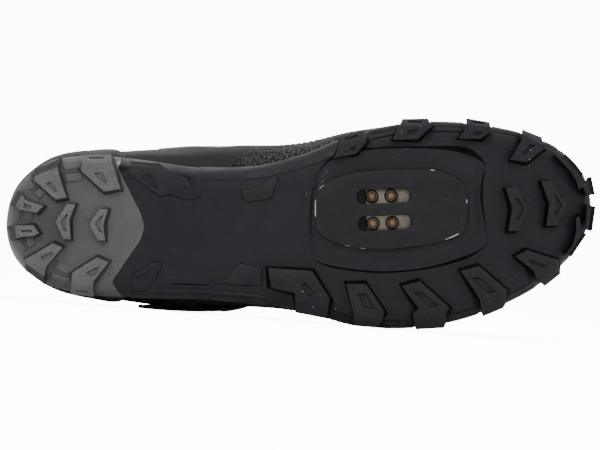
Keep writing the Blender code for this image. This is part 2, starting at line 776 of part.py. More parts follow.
def build_bush(shoe, name, spot, top, finish):
    """One threaded bush: a turned ring with a chamfered mouth."""
    chamfer = BUSH_HEIGHT * 0.25
    profile = [
        (BUSH_RADIUS, 0),
        (BUSH_RADIUS, -BUSH_HEIGHT + chamfer),
        (BUSH_RADIUS - chamfer, -BUSH_HEIGHT),
        (BUSH_HOLE_RADIUS + chamfer, -BUSH_HEIGHT),
        (BUSH_HOLE_RADIUS, -BUSH_HEIGHT + chamfer),
        (BUSH_HOLE_RADIUS, 0),
    ]
    shape = bmesh.new()
    corners = [shape.verts.new((radius, 0, height)) for radius, height in profile]
    for index, corner in enumerate(corners):
        shape.edges.new((corner, corners[(index + 1) % len(corners)]))
    bmesh.ops.spin(shape, geom=shape.verts[:] + shape.edges[:], cent=(0, 0, 0), axis=(0, 0, 1),
                   angle=2 * math.pi, steps=ROUND_STEPS, use_merge=True)
    bush = shoe.part(name, mesh_of(name, shape), finish, STEEL_DENSITY)
    bush.location = (spot.x, spot.y, top)


def build_midsole(shoe):
    """Layer between outsole and upper."""
    foam = material("midsole_foam", (0.032, 0.032, 0.034), 0.70)

    def at(share):
        return lambda along: (outsole_top(along) + SEAM_GAP
                              + share * (foot_height(along) - outsole_top(along) - SEAM_GAP))

    rings = [
        (MIDSOLE_INSET + 0.0008, at(0.00)),
        (MIDSOLE_INSET, at(0.25)),
        (MIDSOLE_INSET, at(0.75)),
        (MIDSOLE_INSET + 0.0008, at(1.00)),
    ]
    shoe.part("midsole", slab("midsole", rings, SOLE_STATIONS), foam, FOAM_DENSITY)


def build_insole(shoe):
    """Insole inside the upper."""
    felt = material("insole_cloth", (0.05, 0.05, 0.055), 0.90)
    inset = FEATHER_INSET + WALL + CURVED_GAP
    rings = [
        (inset, lambda along: foot_height(along) + SEAM_GAP),
        (inset, lambda along: foot_height(along) + SEAM_GAP + INSOLE_THICKNESS),
    ]
    shoe.part("insole", slab("insole", rings, SOLE_STATIONS), felt, FOAM_DENSITY)


def build_upper(shoe):
    """Hollow upper, open at the collar, the throat and underneath."""
    leather = material("black_leather", (0.036, 0.033, 0.034), 0.55)

    def point(share, level):
        side, along = around(share)
        return last_point(side, along, edge_angle(side, along) * level ** 1.7)

    upper = shoe.part("upper", sheet("upper", point, 2 * UPPER_STATIONS, UPPER_ROWS), leather, SOFT_DENSITY)
    solidify(upper, WALL, -1)
    return upper


def build_counter(shoe):
    """Overlay that wraps the heel."""
    grey = material("counter_grey", (0.075, 0.075, 0.078), 0.75)

    def point(share, level):
        side = OUTER if share <= 0.5 else INNER
        away = abs(1 - 2 * share)
        front = COUNTER_FRONT_LOW + (COUNTER_FRONT_HIGH - COUNTER_FRONT_LOW) * level
        along = along_of(turn_of(front) * away)
        low = foot_line(side, along).z
        top = smooth_value(LAST, "ridge", ridge_along(along)) * INSTEP_HEIGHT
        power = 2 / smooth_value(LAST, "squareness", along)
        height = COUNTER_HEIGHT * (1 - 0.35 * away ** 2) * level
        angle = math.asin((height / (top - low)) ** (1 / power))
        return shell_point(side, along, angle, CURVED_GAP)

    counter = shoe.part("heel_counter", sheet("heel_counter", point, 24, 5), grey, SOFT_DENSITY)
    solidify(counter, COUNTER_THICKNESS, 1)


def build_tongue(shoe):
    """Tongue under the throat, rising past the collar."""
    cloth = material("tongue_cloth", (0.030, 0.030, 0.032), 0.85)

    def point(share, across):
        along = TONGUE_TOP + (TONGUE_FRONT - TONGUE_TOP) * share
        side = OUTER if across >= 0.5 else INNER
        half = TONGUE_HALF_WIDTH * abs(2 * across - 1)
        angle = angle_beside_ridge(side, along, half)
        return shell_point(side, along, angle, -WALL - TONGUE_GAP)

    tongue = shoe.part("tongue", sheet("tongue", point, 16, 8), cloth, SOFT_DENSITY)
    solidify(tongue, TONGUE_THICKNESS, -1)


def build_strap(shoe, strap, finish):
    """Strap from the inner side over the ridge to its free end on the outer side."""
    def point(share, across):
        way = 2 * share - 1
        side = OUTER if way >= 0 else INNER
        end = strap.outer_end if side > 0 else strap.inner_end
        lowest = strap.outer_reach if side > 0 else strap.inner_reach
        middle = strap.crossing + (end - strap.crossing) * abs(way) ** 1.3
        along = middle + (across - 0.5) * strap.width / SOLE_LENGTH
        climb = 1 - abs(way) * (1 - lowest)
        return shell_point(side, along, quarter(climb), CURVED_GAP)

    band = shoe.part(strap.name, sheet(strap.name, point, 18, 4), finish, SOFT_DENSITY)
    solidify(band, STRAP_THICKNESS, 1)


def evaluated_meshes(shoe):
    """Finished mesh of each piece in the standing frame, by name."""
    graph = bpy.context.evaluated_depsgraph_get()
    graph.update()
    meshes = {}
    for name in shoe.densities:
        thing = bpy.data.objects[name].evaluated_get(graph)
        shape = bmesh.new()
        shape.from_mesh(thing.to_mesh())
        shape.transform(thing.matrix_world)
        thing.to_mesh_clear()
        meshes[name] = shape
    return meshes


def mass_centre(shoe, meshes):
    """Centre of mass from each piece's volume and density."""
    total = 0
    moment = Vector()
    for name, shape in meshes.items():
        for face in shape.faces:
            first = face.verts[0].co
            for second, third in zip(face.verts[1:-1], face.verts[2:]):
                volume = first.dot(second.co.cross(third.co)) / 6 * shoe.densities[name]
                total += volume
                moment += (first + second.co + third.co) / 4 * volume
    return moment / total


def resting_direction(points, centre):
    """Outward normal of the hull face that the shoe rests on when laid on its outer side."""
    shape = bmesh.new()
    for point in points:
        shape.verts.new(point - centre)
    bmesh.ops.convex_hull(shape, input=shape.verts)
    loose = [corner for corner in shape.verts if not corner.link_faces]
    bmesh.ops.delete(shape, geom=loose, context="VERTS")
    faces = []
    for face in shape.faces:
        normal = face.normal.copy()
        distance = normal.dot(face.verts[0].co)
        if distance < 0:
            normal.negate()
            distance = -distance
        if face.calc_area() > 1e-9:
            faces.append((normal, distance))
    shape.free()
    down = Vector((0, 1, 0))
    for _ in range(50):
        hit = min((distance / normal.dot(down), index)
                  for index, (normal, distance) in enumerate(faces) if normal.dot(down) > 0.01)
        found = faces[hit[1]][0]
        if found.dot(down) > 0.9999999:
            break
        down = found
    return down


def lay_down(shoe):
    """Turns the carrier so that the shoe rests on its outer side, with the origin under its box."""
    meshes = evaluated_meshes(shoe)
    centre = mass_centre(shoe, meshes)
    points = [corner.co.copy() for shape in meshes.values() for corner in shape.verts]
    for shape in meshes.values():
        shape.free()
    up = -resting_direction(points, centre)
    forward = (Vector((1, 0, 0)) - up * up.x).normalized()
    across = up.cross(forward)
    turn = Matrix((forward, across, up))
    placed = np.array([turn @ point for point in points])
    low = placed.min(axis=0)
    high = placed.max(axis=0)
    shift = Vector((-(low[0] + high[0]) / 2, -(low[1] + high[1]) / 2, -low[2]))
    shoe.carrier.matrix_world = Matrix.Translation(shift) @ turn.to_4x4()
    return shift, turn


def build():
    """Builds every piece and lays the shoe down."""
    for thing in list(bpy.data.objects):
        bpy.data.objects.remove(thing, do_unlink=True)
    shoe = Shoe()
    build_outsole(shoe)
    build_heel(shoe)
    build_cleat(shoe)
    build_midsole(shoe)
    build_insole(shoe)
    build_upper(shoe)
    build_counter(shoe)
    build_tongue(shoe)
    webbing = material("strap_black", (0.032, 0.032, 0.034), 0.60)
    for strap in STRAPS:
        build_strap(shoe, strap, webbing)
    lay_down(shoe)
    bpy.context.view_layer.update()


build()
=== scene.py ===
"""Looks of a cycling shoe for the left foot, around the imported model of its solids.

The shoe lies on its outer side. Its pieces are worked out in the shoe's own frame, in which it stands:
X runs from heel to toe, +Y is the outer side and Z is the height over the tread. ShoeFrame then lays
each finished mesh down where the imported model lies.
"""

import json
import logging
import math
from dataclasses import dataclass
from enum import IntEnum
from typing import Callable, NamedTuple, Sequence

import bmesh
import bpy
import numpy as np
from bmesh.types import BMesh, BMFace, BMVert
from bpy.types import ID, Material, Mesh, Node, NodeSocket, NodeTree, Object
from mathutils import Matrix, Vector


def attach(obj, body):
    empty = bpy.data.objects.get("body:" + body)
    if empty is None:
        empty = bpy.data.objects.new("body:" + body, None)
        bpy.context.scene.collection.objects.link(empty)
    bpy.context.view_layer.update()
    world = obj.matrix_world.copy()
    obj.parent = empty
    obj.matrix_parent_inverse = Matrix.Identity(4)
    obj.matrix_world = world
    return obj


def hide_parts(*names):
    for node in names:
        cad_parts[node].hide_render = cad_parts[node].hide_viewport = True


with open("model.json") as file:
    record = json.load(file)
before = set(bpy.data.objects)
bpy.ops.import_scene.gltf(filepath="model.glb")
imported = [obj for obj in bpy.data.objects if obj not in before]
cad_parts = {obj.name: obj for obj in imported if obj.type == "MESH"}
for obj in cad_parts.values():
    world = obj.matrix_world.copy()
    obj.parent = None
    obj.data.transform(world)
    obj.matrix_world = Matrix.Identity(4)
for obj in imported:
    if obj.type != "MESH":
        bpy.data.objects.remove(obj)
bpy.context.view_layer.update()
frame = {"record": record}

log = logging.getLogger("cycling_shoe")

MM = 0.001
MERGE = 0.00001

Spot = tuple[float, float]


class Side(IntEnum):
    """Side of the shoe."""

    INNER = -1
    OUTER = 1


class ShoeFrame:
    """Place of the standing shoe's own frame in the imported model, found from its two mounts."""

    CLEAT_MOUNT = Vector((195.132, -8.003, 0.9)) * MM
    HEEL_MOUNT = Vector((53.3, -23.66, 0.0)) * MM

    def __init__(self, record: dict) -> None:
        """Works out the matrix that lays the shoe down.

        Args:
            record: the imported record, with the mounts cleat_pad and heel_lug.
        """
        mounts = {mount["name"]: mount for mount in record["mounts"]}
        cleat = Vector(mounts["cleat_pad"]["pos_m"])
        heel = Vector(mounts["heel_lug"]["pos_m"])
        up = -Vector(mounts["cleat_pad"]["axis"]).normalized()
        reach = cleat - heel
        reach = (reach - up * reach.dot(up)).normalized()
        own = self.CLEAT_MOUNT - self.HEEL_MOUNT
        angle = math.atan2(own.y, own.x)
        forward = reach * math.cos(angle) - up.cross(reach) * math.sin(angle)
        turn = Matrix((forward, up.cross(forward), up)).transposed()
        self.matrix = Matrix.Translation(cleat - turn @ self.CLEAT_MOUNT) @ turn.to_4x4()

    def place(self, spot: Vector) -> Vector:
        """World place of a point of the standing shoe."""
        return self.matrix @ spot

    def direction(self, heading: Vector) -> Vector:
        """World direction of a direction of the standing shoe."""
        return self.matrix.to_3x3() @ heading


def turn_of(along: float) -> float:
    """Angle from 0 at the heel to pi at the toe, whose cosine gives a share of the length."""
    return math.acos(min(max(1 - 2 * along, -1), 1))


def along_of(turn: float) -> float:
    """Share of the length at an angle from 0 at the heel to pi at the toe."""
    return (1 - math.cos(turn)) / 2


def linked(name: str, data: ID) -> Object:
    """New object in the scene."""
    thing = bpy.data.objects.new(name, data)
    bpy.context.scene.collection.objects.link(thing)
    return thing


def extruded(shape: BMesh, *faces: BMFace) -> list[BMVert]:
    """Corners at the far end of the extrusion of some faces."""
    raised = bmesh.ops.extrude_face_region(shape, geom=list(faces))
    return [item for item in raised["geom"] if isinstance(item, BMVert)]


def spun(profile: Sequence[Spot], steps: int) -> BMesh:
    """Surface of revolution around the upright axis.

    Args:
        profile: radius and height of each corner, in order.
        steps: number of cells round it.

    Returns:
        The bmesh, with its doubles merged and its faces outwards.
    """
    shape = bmesh.new()
    corners = [shape.verts.new((radius, 0, height)) for radius, height in profile]
    for first, last in zip(corners, corners[1:]):
        shape.edges.new((first, last))
    bmesh.ops.spin(shape, geom=shape.verts[:] + shape.edges[:], cent=(0, 0, 0), axis=(0, 0, 1),
                   angle=2 * math.pi, steps=steps, use_merge=True)
    bmesh.ops.remove_doubles(shape, verts=shape.verts, dist=MERGE)
    bmesh.ops.recalc_face_normals(shape, faces=shape.faces)
    return shape


def ramp(value: float, low: float, high: float, soft: float) -> float:
    """Mask that is 1 between two limits and falls to 0 over a soft edge outside them.

    Args:
        value: value to look at.
        low: lower limit.
        high: upper limit.
        soft: width of the soft edge.

    Returns:
        The mask from 0 to 1.
    """
    rise = min(max((value - low) / soft + 0.5, 0), 1)
    fall = min(max((high - value) / soft + 0.5, 0), 1)
    share = min(rise, fall)
    return share * share * (3 - 2 * share)


class SmoothCurve:
    """Smooth curve of a value through the rows of a table."""

    def __init__(self, stations: Sequence[float], values: Sequence[float]) -> None:
        """Keeps the stations and works out the slope at each of them.

        Args:
            stations: rising stations.
            values: value at each station.
        """
        self.stations = list(stations)
        self.values = list(values)
        last = len(self.values) - 1
        self.slopes = []
        for index in range(last + 1):
            low = max(index - 1, 0)
            high = min(index + 1, last)
            run = self.stations[high] - self.stations[low]
            self.slopes.append((self.values[high] - self.values[low]) / run)

    def at(self, station: float) -> float:
        """Value at a station, held at the ends.

        Args:
            station: place along the curve.

        Returns:
            The value there.
        """
        station = min(max(station, self.stations[0]), self.stations[-1])
        index = int(np.searchsorted(self.stations, station, side="right")) - 1
        index = min(max(index, 0), len(self.stations) - 2)
        span = self.stations[index + 1] - self.stations[index]
        share = (station - self.stations[index]) / span
        first = self.values[index]
        last = self.values[index + 1]
        start = self.slopes[index] * span
        end = self.slopes[index + 1] * span
        cubic = 2 * first - 2 * last + start + end
        square = -3 * first + 3 * last - 2 * start - end
        return ((cubic * share + square) * share + start) * share + first


class LengthCurve(SmoothCurve):
    """Smooth curve of a value from heel to toe, by shares of the length."""

    def __init__(self, rows: Sequence[NamedTuple], column: str) -> None:
        """Reads one column of a table whose rows name their share of the length.

        Args:
            rows: rows of the table.
            column: name of the column.
        """
        super().__init__([turn_of(row.along) for row in rows], [getattr(row, column) for row in rows])
        self.known: dict[float, float] = {}

    def at(self, along: float) -> float:
        """Value at a share of the length."""
        if along not in self.known:
            self.known[along] = super().at(turn_of(along))
        return self.known[along]


class Plan(NamedTuple):
    """Plan of the sole: sides as shares of the ball width."""

    along: float
    inner: float
    outer: float


SOLE_PLAN = (
    Plan(0.000, 0.004, 0.004),
    Plan(0.013, -0.160, 0.146),
    Plan(0.040, -0.250, 0.231),
    Plan(0.083, -0.320, 0.304),
    Plan(0.149, -0.338, 0.344),
    Plan(0.231, -0.318, 0.354),
    Plan(0.330, -0.281, 0.359),
    Plan(0.429, -0.287, 0.384),
    Plan(0.512, -0.347, 0.423),
    Plan(0.594, -0.442, 0.484),
    Plan(0.677, -0.492, 0.501),
    Plan(0.759, -0.501, 0.470),
    Plan(0.842, -0.472, 0.392),
    Plan(0.908, -0.420, 0.294),
    Plan(0.957, -0.344, 0.175),
    Plan(0.987, -0.245, 0.057),
    Plan(1.000, -0.094, -0.094),
)


class Section(NamedTuple):
    """Section of the last: ridge height as a share of the instep height, ridge side as a share of
    the ball width, squareness, and bulges as shares of the two named bulges."""

    along: float
    ridge: float
    ridge_side: float
    squareness: float
    inner_bulge: float
    outer_bulge: float


LAST = (
    Section(0.00, 1.150, 0.000, 4.2, 0.17, 0.30),
    Section(0.14, 1.165, 0.000, 4.2, 0.28, 0.40),
    Section(0.24, 1.175, 0.000, 4.0, 0.60, 0.85),
    Section(0.31, 1.140, 0.000, 3.7, 0.93, 1.00),
    Section(0.36, 1.000, 0.000, 3.3, 1.00, 0.88),
    Section(0.43, 0.905, -0.010, 3.0, 0.96, 0.64),
    Section(0.52, 0.790, -0.025, 2.8, 0.58, 0.45),
    Section(0.62, 0.665, -0.045, 2.7, 0.24, 0.46),
    Section(0.71, 0.565, -0.065, 2.7, 0.16, 0.36),
    Section(0.82, 0.515, -0.085, 2.7, 0.12, 0.22),
    Section(0.90, 0.475, -0.100, 2.6, 0.10, 0.22),
    Section(1.00, 0.420, -0.110, 2.5, 0.08, 0.20),
)


class Collar(NamedTuple):
    """Height of the collar's edge as shares of the collar height."""

    along: float
    inner: float
    outer: float


COLLAR = (
    Collar(0.00, 1.00, 1.00),
    Collar(0.07, 0.97, 0.96),
    Collar(0.15, 0.87, 0.84),
    Collar(0.23, 0.83, 0.79),
    Collar(0.29, 0.89, 0.86),
    Collar(0.33, 1.02, 1.00),
    Collar(0.36, 1.30, 1.30),
    Collar(1.00, 1.30, 1.30),
)


@dataclass(frozen=True)
class Sizes:
    """Driving sizes of the shoe, in metres, and its main places as shares of the length."""

    length: float = 0.303
    ball_width: float = 0.106
    lug_height: float = 0.005
    arch_rise: float = 0.006
    arch_middle: float = 0.385
    arch_reach: float = 0.20
    toe_spring: float = 0.020
    toe_start: float = 0.70
    heel_bevel: float = 0.003
    heel_reach: float = 0.07
    outsole_heel: float = 0.0105
    outsole_ball: float = 0.0075
    midsole_heel: float = 0.0075
    midsole_ball: float = 0.0048
    insole_thickness: float = 0.004
    wall: float = 0.002
    seam_gap: float = 0.0003
    curved_gap: float = 0.0007
    tongue_gap: float = 0.0019
    feather_inset: float = 0.0025
    midsole_inset: float = 0.0012
    instep_height: float = 0.118
    collar_height: float = 0.100
    throat_half_width: float = 0.017
    throat_start: float = 0.30
    throat_front: float = 0.625
    inner_bulge: float = 0.0145
    outer_bulge: float = 0.0075
    end_bulge: float = 0.0024
    end_reach: float = 0.12
    swell_power: float = 0.42


class SectionShape(NamedTuple):
    """Worked-out section of the upper that starts at one station of the sole's edge."""

    foot: Vector
    low: float
    ridge: Vector
    top: float
    power: float
    normal: Vector
    bulge: float


class Form:
    """Surfaces of the sole and the last, in metres in the standing shoe's frame."""

    TURN_STEP = 0.004
    EDGE_SAMPLES = 400
    BLEND_START = 0.22
    BLEND_LENGTH = 0.30
    ARCH_THINNING = 0.18
    HEEL_LEAN = 0.148
    TOE_LEAN = 0.085
    SIDE_PROFILE = ((14.0, 0.0), (10.0, 0.0), (4.0, 0.12), (1.2, 0.42), (0.0, 0.78), (0.8, 1.0))

    def __init__(self, sizes: Sizes) -> None:
        """Makes the curves of the tables.

        Args:
            sizes: driving sizes of the shoe.
        """
        self.sizes = sizes
        self.plan = self.both_sides(SOLE_PLAN)
        self.collar = self.both_sides(COLLAR)
        self.bulges = self.both_sides(LAST, "_bulge")
        self.ridge = LengthCurve(LAST, "ridge")
        self.ridge_side = LengthCurve(LAST, "ridge_side")
        self.squareness = LengthCurve(LAST, "squareness")
        self.sections: dict[tuple[int, float], SectionShape] = {}
        self.edge_line = self.edge_samples()

    @staticmethod
    def both_sides(rows: Sequence[NamedTuple], ending: str = "") -> dict[Side, LengthCurve]:
        """Curve of the inner and of the outer column of a table."""
        return {side: LengthCurve(rows, side.name.lower() + ending) for side in Side}

    def edge_point(self, side: int, along: float) -> Vector:
        """Point of the sole's edge in plan."""
        width = self.sizes.ball_width
        return Vector((along * self.sizes.length, self.plan[Side(side)].at(along) * width))

    def edge_normal(self, side: int, along: float) -> Vector:
        """Outward direction of the sole's edge in plan.

        Args:
            side: side of the shoe.
            along: station as a share of the length.

        Returns:
            The direction, of length 1.
        """
        turn = turn_of(along)
        low = turn - self.TURN_STEP
        high = turn + self.TURN_STEP
        before = self.edge_point(-side if low < 0 else side, along_of(abs(low)))
        past_toe = high > math.pi
        after = self.edge_point(-side if past_toe else side, along_of(min(high, 2 * math.pi - high)))
        tangent = (after - before).normalized()
        return Vector((-tangent.y, tangent.x)) * side

    def plan_point(self, side: int, along: float, inset: float) -> Vector:
        """Point in plan at a distance inside the sole's edge."""
        return self.edge_point(side, along) - self.edge_normal(side, along) * inset

    def edge_samples(self) -> np.ndarray:
        """Points all round the sole's edge in plan, for measuring how far inside it a place lies."""
        turns = np.linspace(0, math.pi, self.EDGE_SAMPLES)
        points = [self.edge_point(side, along_of(turn)) for side in (1, -1) for turn in turns]
        return np.array([tuple(point) for point in points])

    def inset_of(self, x: float, y: float) -> float:
        """Distance of a place in plan inside the sole's edge."""
        gaps = self.edge_line - np.array((x, y))
        return float(np.sqrt((gaps ** 2).sum(axis=1).min()))

    def arch(self, along: float) -> float:
        """Share of the arch's rise, from 0 at heel and ball to 1 at the waist."""
        away = abs(along - self.sizes.arch_middle) / self.sizes.arch_reach
        return math.cos(math.pi / 2 * away) ** 2 if away < 1 else 0.0

    def sole_blend(self, along: float) -> float:
        """Share of the way from heel thickness to ball thickness."""
        share = min(max((along - self.BLEND_START) / self.BLEND_LENGTH, 0), 1)
        return share * share * (3 - 2 * share)

    def base_height(self, along: float) -> float:
        """Height of the sole's underside between the lugs.

        Args:
            along: station as a share of the length.

        Returns:
            The height in metres.
        """
        sizes = self.sizes
        toe = max(along - sizes.toe_start, 0) / (1 - sizes.toe_start)
        heel = max(sizes.heel_reach - along, 0) / sizes.heel_reach
        bend = sizes.toe_spring * toe ** 2 + sizes.heel_bevel * heel ** 2
        return sizes.lug_height + sizes.arch_rise * self.arch(along) + bend

    def outsole_top(self, along: float) -> float:
        """Height of the outsole's upper face."""
        sizes = self.sizes
        change = sizes.outsole_ball - sizes.outsole_heel
        thickness = sizes.outsole_heel + change * self.sole_blend(along)
        return self.base_height(along) + thickness * (1 - self.ARCH_THINNING * self.arch(along))

    def foot_height(self, along: float) -> float:
        """Height of the midsole's upper face, which carries upper and insole."""
        sizes = self.sizes
        change = sizes.midsole_ball - sizes.midsole_heel
        thickness = sizes.midsole_heel + change * self.sole_blend(along)
        return self.outsole_top(along) + sizes.seam_gap + thickness

    def tread_height(self, x: float, y: float) -> float:
        """Height of the sole's underside at a place in plan, with its rounded edge.

        Args:
            x: place along the shoe.
            y: place across the shoe.

        Returns:
            The height in metres.
        """
        knots = self.SIDE_PROFILE[-2::-1]
        inset = self.inset_of(x, y) / MM
        share = float(np.interp(inset, [knot[0] for knot in knots], [knot[1] for knot in knots]))
        along = min(max(x / self.sizes.length, 0), 1)
        low = self.base_height(along)
        return low + share * (self.outsole_top(along) - low)

    def ridge_along(self, along: float) -> float:
        """Where the last's section that starts at a station of the edge meets the ridge."""
        heel = max(0.30 - along, 0) / 0.30
        toe = max(along - 0.80, 0) / 0.20
        return along + self.HEEL_LEAN * heel ** 2 - self.TOE_LEAN * toe ** 2

    def section(self, side: int, along: float) -> SectionShape:
        """Worked-out section of the upper at a station of the sole's edge.

        Args:
            side: side of the shoe.
            along: station as a share of the length.

        Returns:
            The section, which is worked out once.
        """
        key = (int(side), along)
        if key not in self.sections:
            sizes = self.sizes
            top_along = self.ridge_along(along)
            foot = self.plan_point(side, along, sizes.feather_inset)
            swell = sizes.outer_bulge if side > 0 else sizes.inner_bulge
            end = max(1 - min(along, 1 - along) / sizes.end_reach, 0) ** 2
            bulge = sizes.end_bulge * end + self.bulges[Side(side)].at(along) * swell * (1 - end)
            self.sections[key] = SectionShape(
                foot=foot,
                low=self.foot_height(foot.x / sizes.length) + sizes.seam_gap,
                ridge=Vector((top_along * sizes.length,
                              self.ridge_side.at(top_along) * sizes.ball_width)),
                top=self.ridge.at(top_along) * sizes.instep_height,
                power=2 / self.squareness.at(along),
                normal=self.edge_normal(side, along),
                bulge=bulge,
            )
        return self.sections[key]

    def last_point(self, side: int, along: float, angle: float) -> Vector:
        """Point of the upper's outer surface, from the sole (angle 0) to the ridge (a quarter turn).

        Args:
            side: side of the shoe.
            along: station as a share of the length.
            angle: angle on the section, 0 at the sole and a quarter turn at the ridge.

        Returns:
            The point.
        """
        shape = self.section(side, along)
        inward = 1 - max(math.cos(angle), 0) ** shape.power
        upward = max(math.sin(angle), 0) ** shape.power
        swell = shape.bulge * math.sin(math.pi * upward ** self.sizes.swell_power)
        plan = shape.foot + (shape.ridge - shape.foot) * inward + shape.normal * swell
        return Vector((plan.x, plan.y, shape.low + (shape.top - shape.low) * upward))

    def last_normal(self, side: int, along: float, angle: float) -> Vector:
        """Outward direction of the upper's surface.

        Args:
            side: side of the shoe.
            along: station as a share of the length.
            angle: angle on the section, 0 at the sole and a quarter turn at the ridge.

        Returns:
            The direction, of length 1.
        """
        step = 0.02
        turn = turn_of(along)
        low_angle = max(angle - step, 0.002)
        high_angle = min(max(angle, 0.002) + step, math.pi / 2)
        if turn < step or turn > math.pi - step:
            plan = self.edge_normal(side, along)
            forward = Vector((plan.y, -plan.x, 0)) * side
        else:
            ahead = self.last_point(side, along_of(turn + step), angle)
            forward = ahead - self.last_point(side, along_of(turn - step), angle)
        upward = self.last_point(side, along, high_angle) - self.last_point(side, along, low_angle)
        return forward.cross(upward).normalized() * -side

    def shell_point(self, side: int, along: float, angle: float, offset: float) -> Vector:
        """Point at a distance outside the upper's surface."""
        return self.last_point(side, along, angle) + self.last_normal(side, along, angle) * offset

    def angle_beside_ridge(self, side: int, along: float, away: float) -> float:
        """Angle of the point at a distance to one side of the ridge."""
        shape = self.section(side, along)
        reach = abs(shape.foot.y - shape.ridge.y) + shape.bulge
        return math.acos(min(away / reach, 1) ** (1 / shape.power))

    def angle_at_height(self, side: int, along: float, height: float) -> float:
        """Angle of the point at a height over the tread."""
        shape = self.section(side, along)
        share = min(max((height - shape.low) / (shape.top - shape.low), 0), 1)
        return math.asin(share ** (1 / shape.power))

    def edge_angle(self, side: int, along: float) -> float:
        """Angle of the collar's or the throat's edge, a quarter turn where the upper is closed.

        Args:
            side: side of the shoe.
            along: station as a share of the length.

        Returns:
            The angle on the section.
        """
        sizes = self.sizes
        height = self.collar[Side(side)].at(along) * sizes.collar_height
        collar_angle = self.angle_at_height(side, along, height)
        if along < sizes.throat_start or along > sizes.throat_front:
            return collar_angle
        travel = (along - sizes.throat_start) / (sizes.throat_front - sizes.throat_start)
        half = sizes.throat_half_width * math.sqrt(1 - travel ** 6)
        return min(collar_angle, self.angle_beside_ridge(side, along, half))

    def around(self, share: float) -> tuple[int, float]:
        """Side and station for a share of the way round, from the heel by the outer side."""
        if share <= 0.5:
            return Side.OUTER, along_of(math.pi * 2 * share)
        return Side.INNER, along_of(math.pi * 2 * (1 - share))


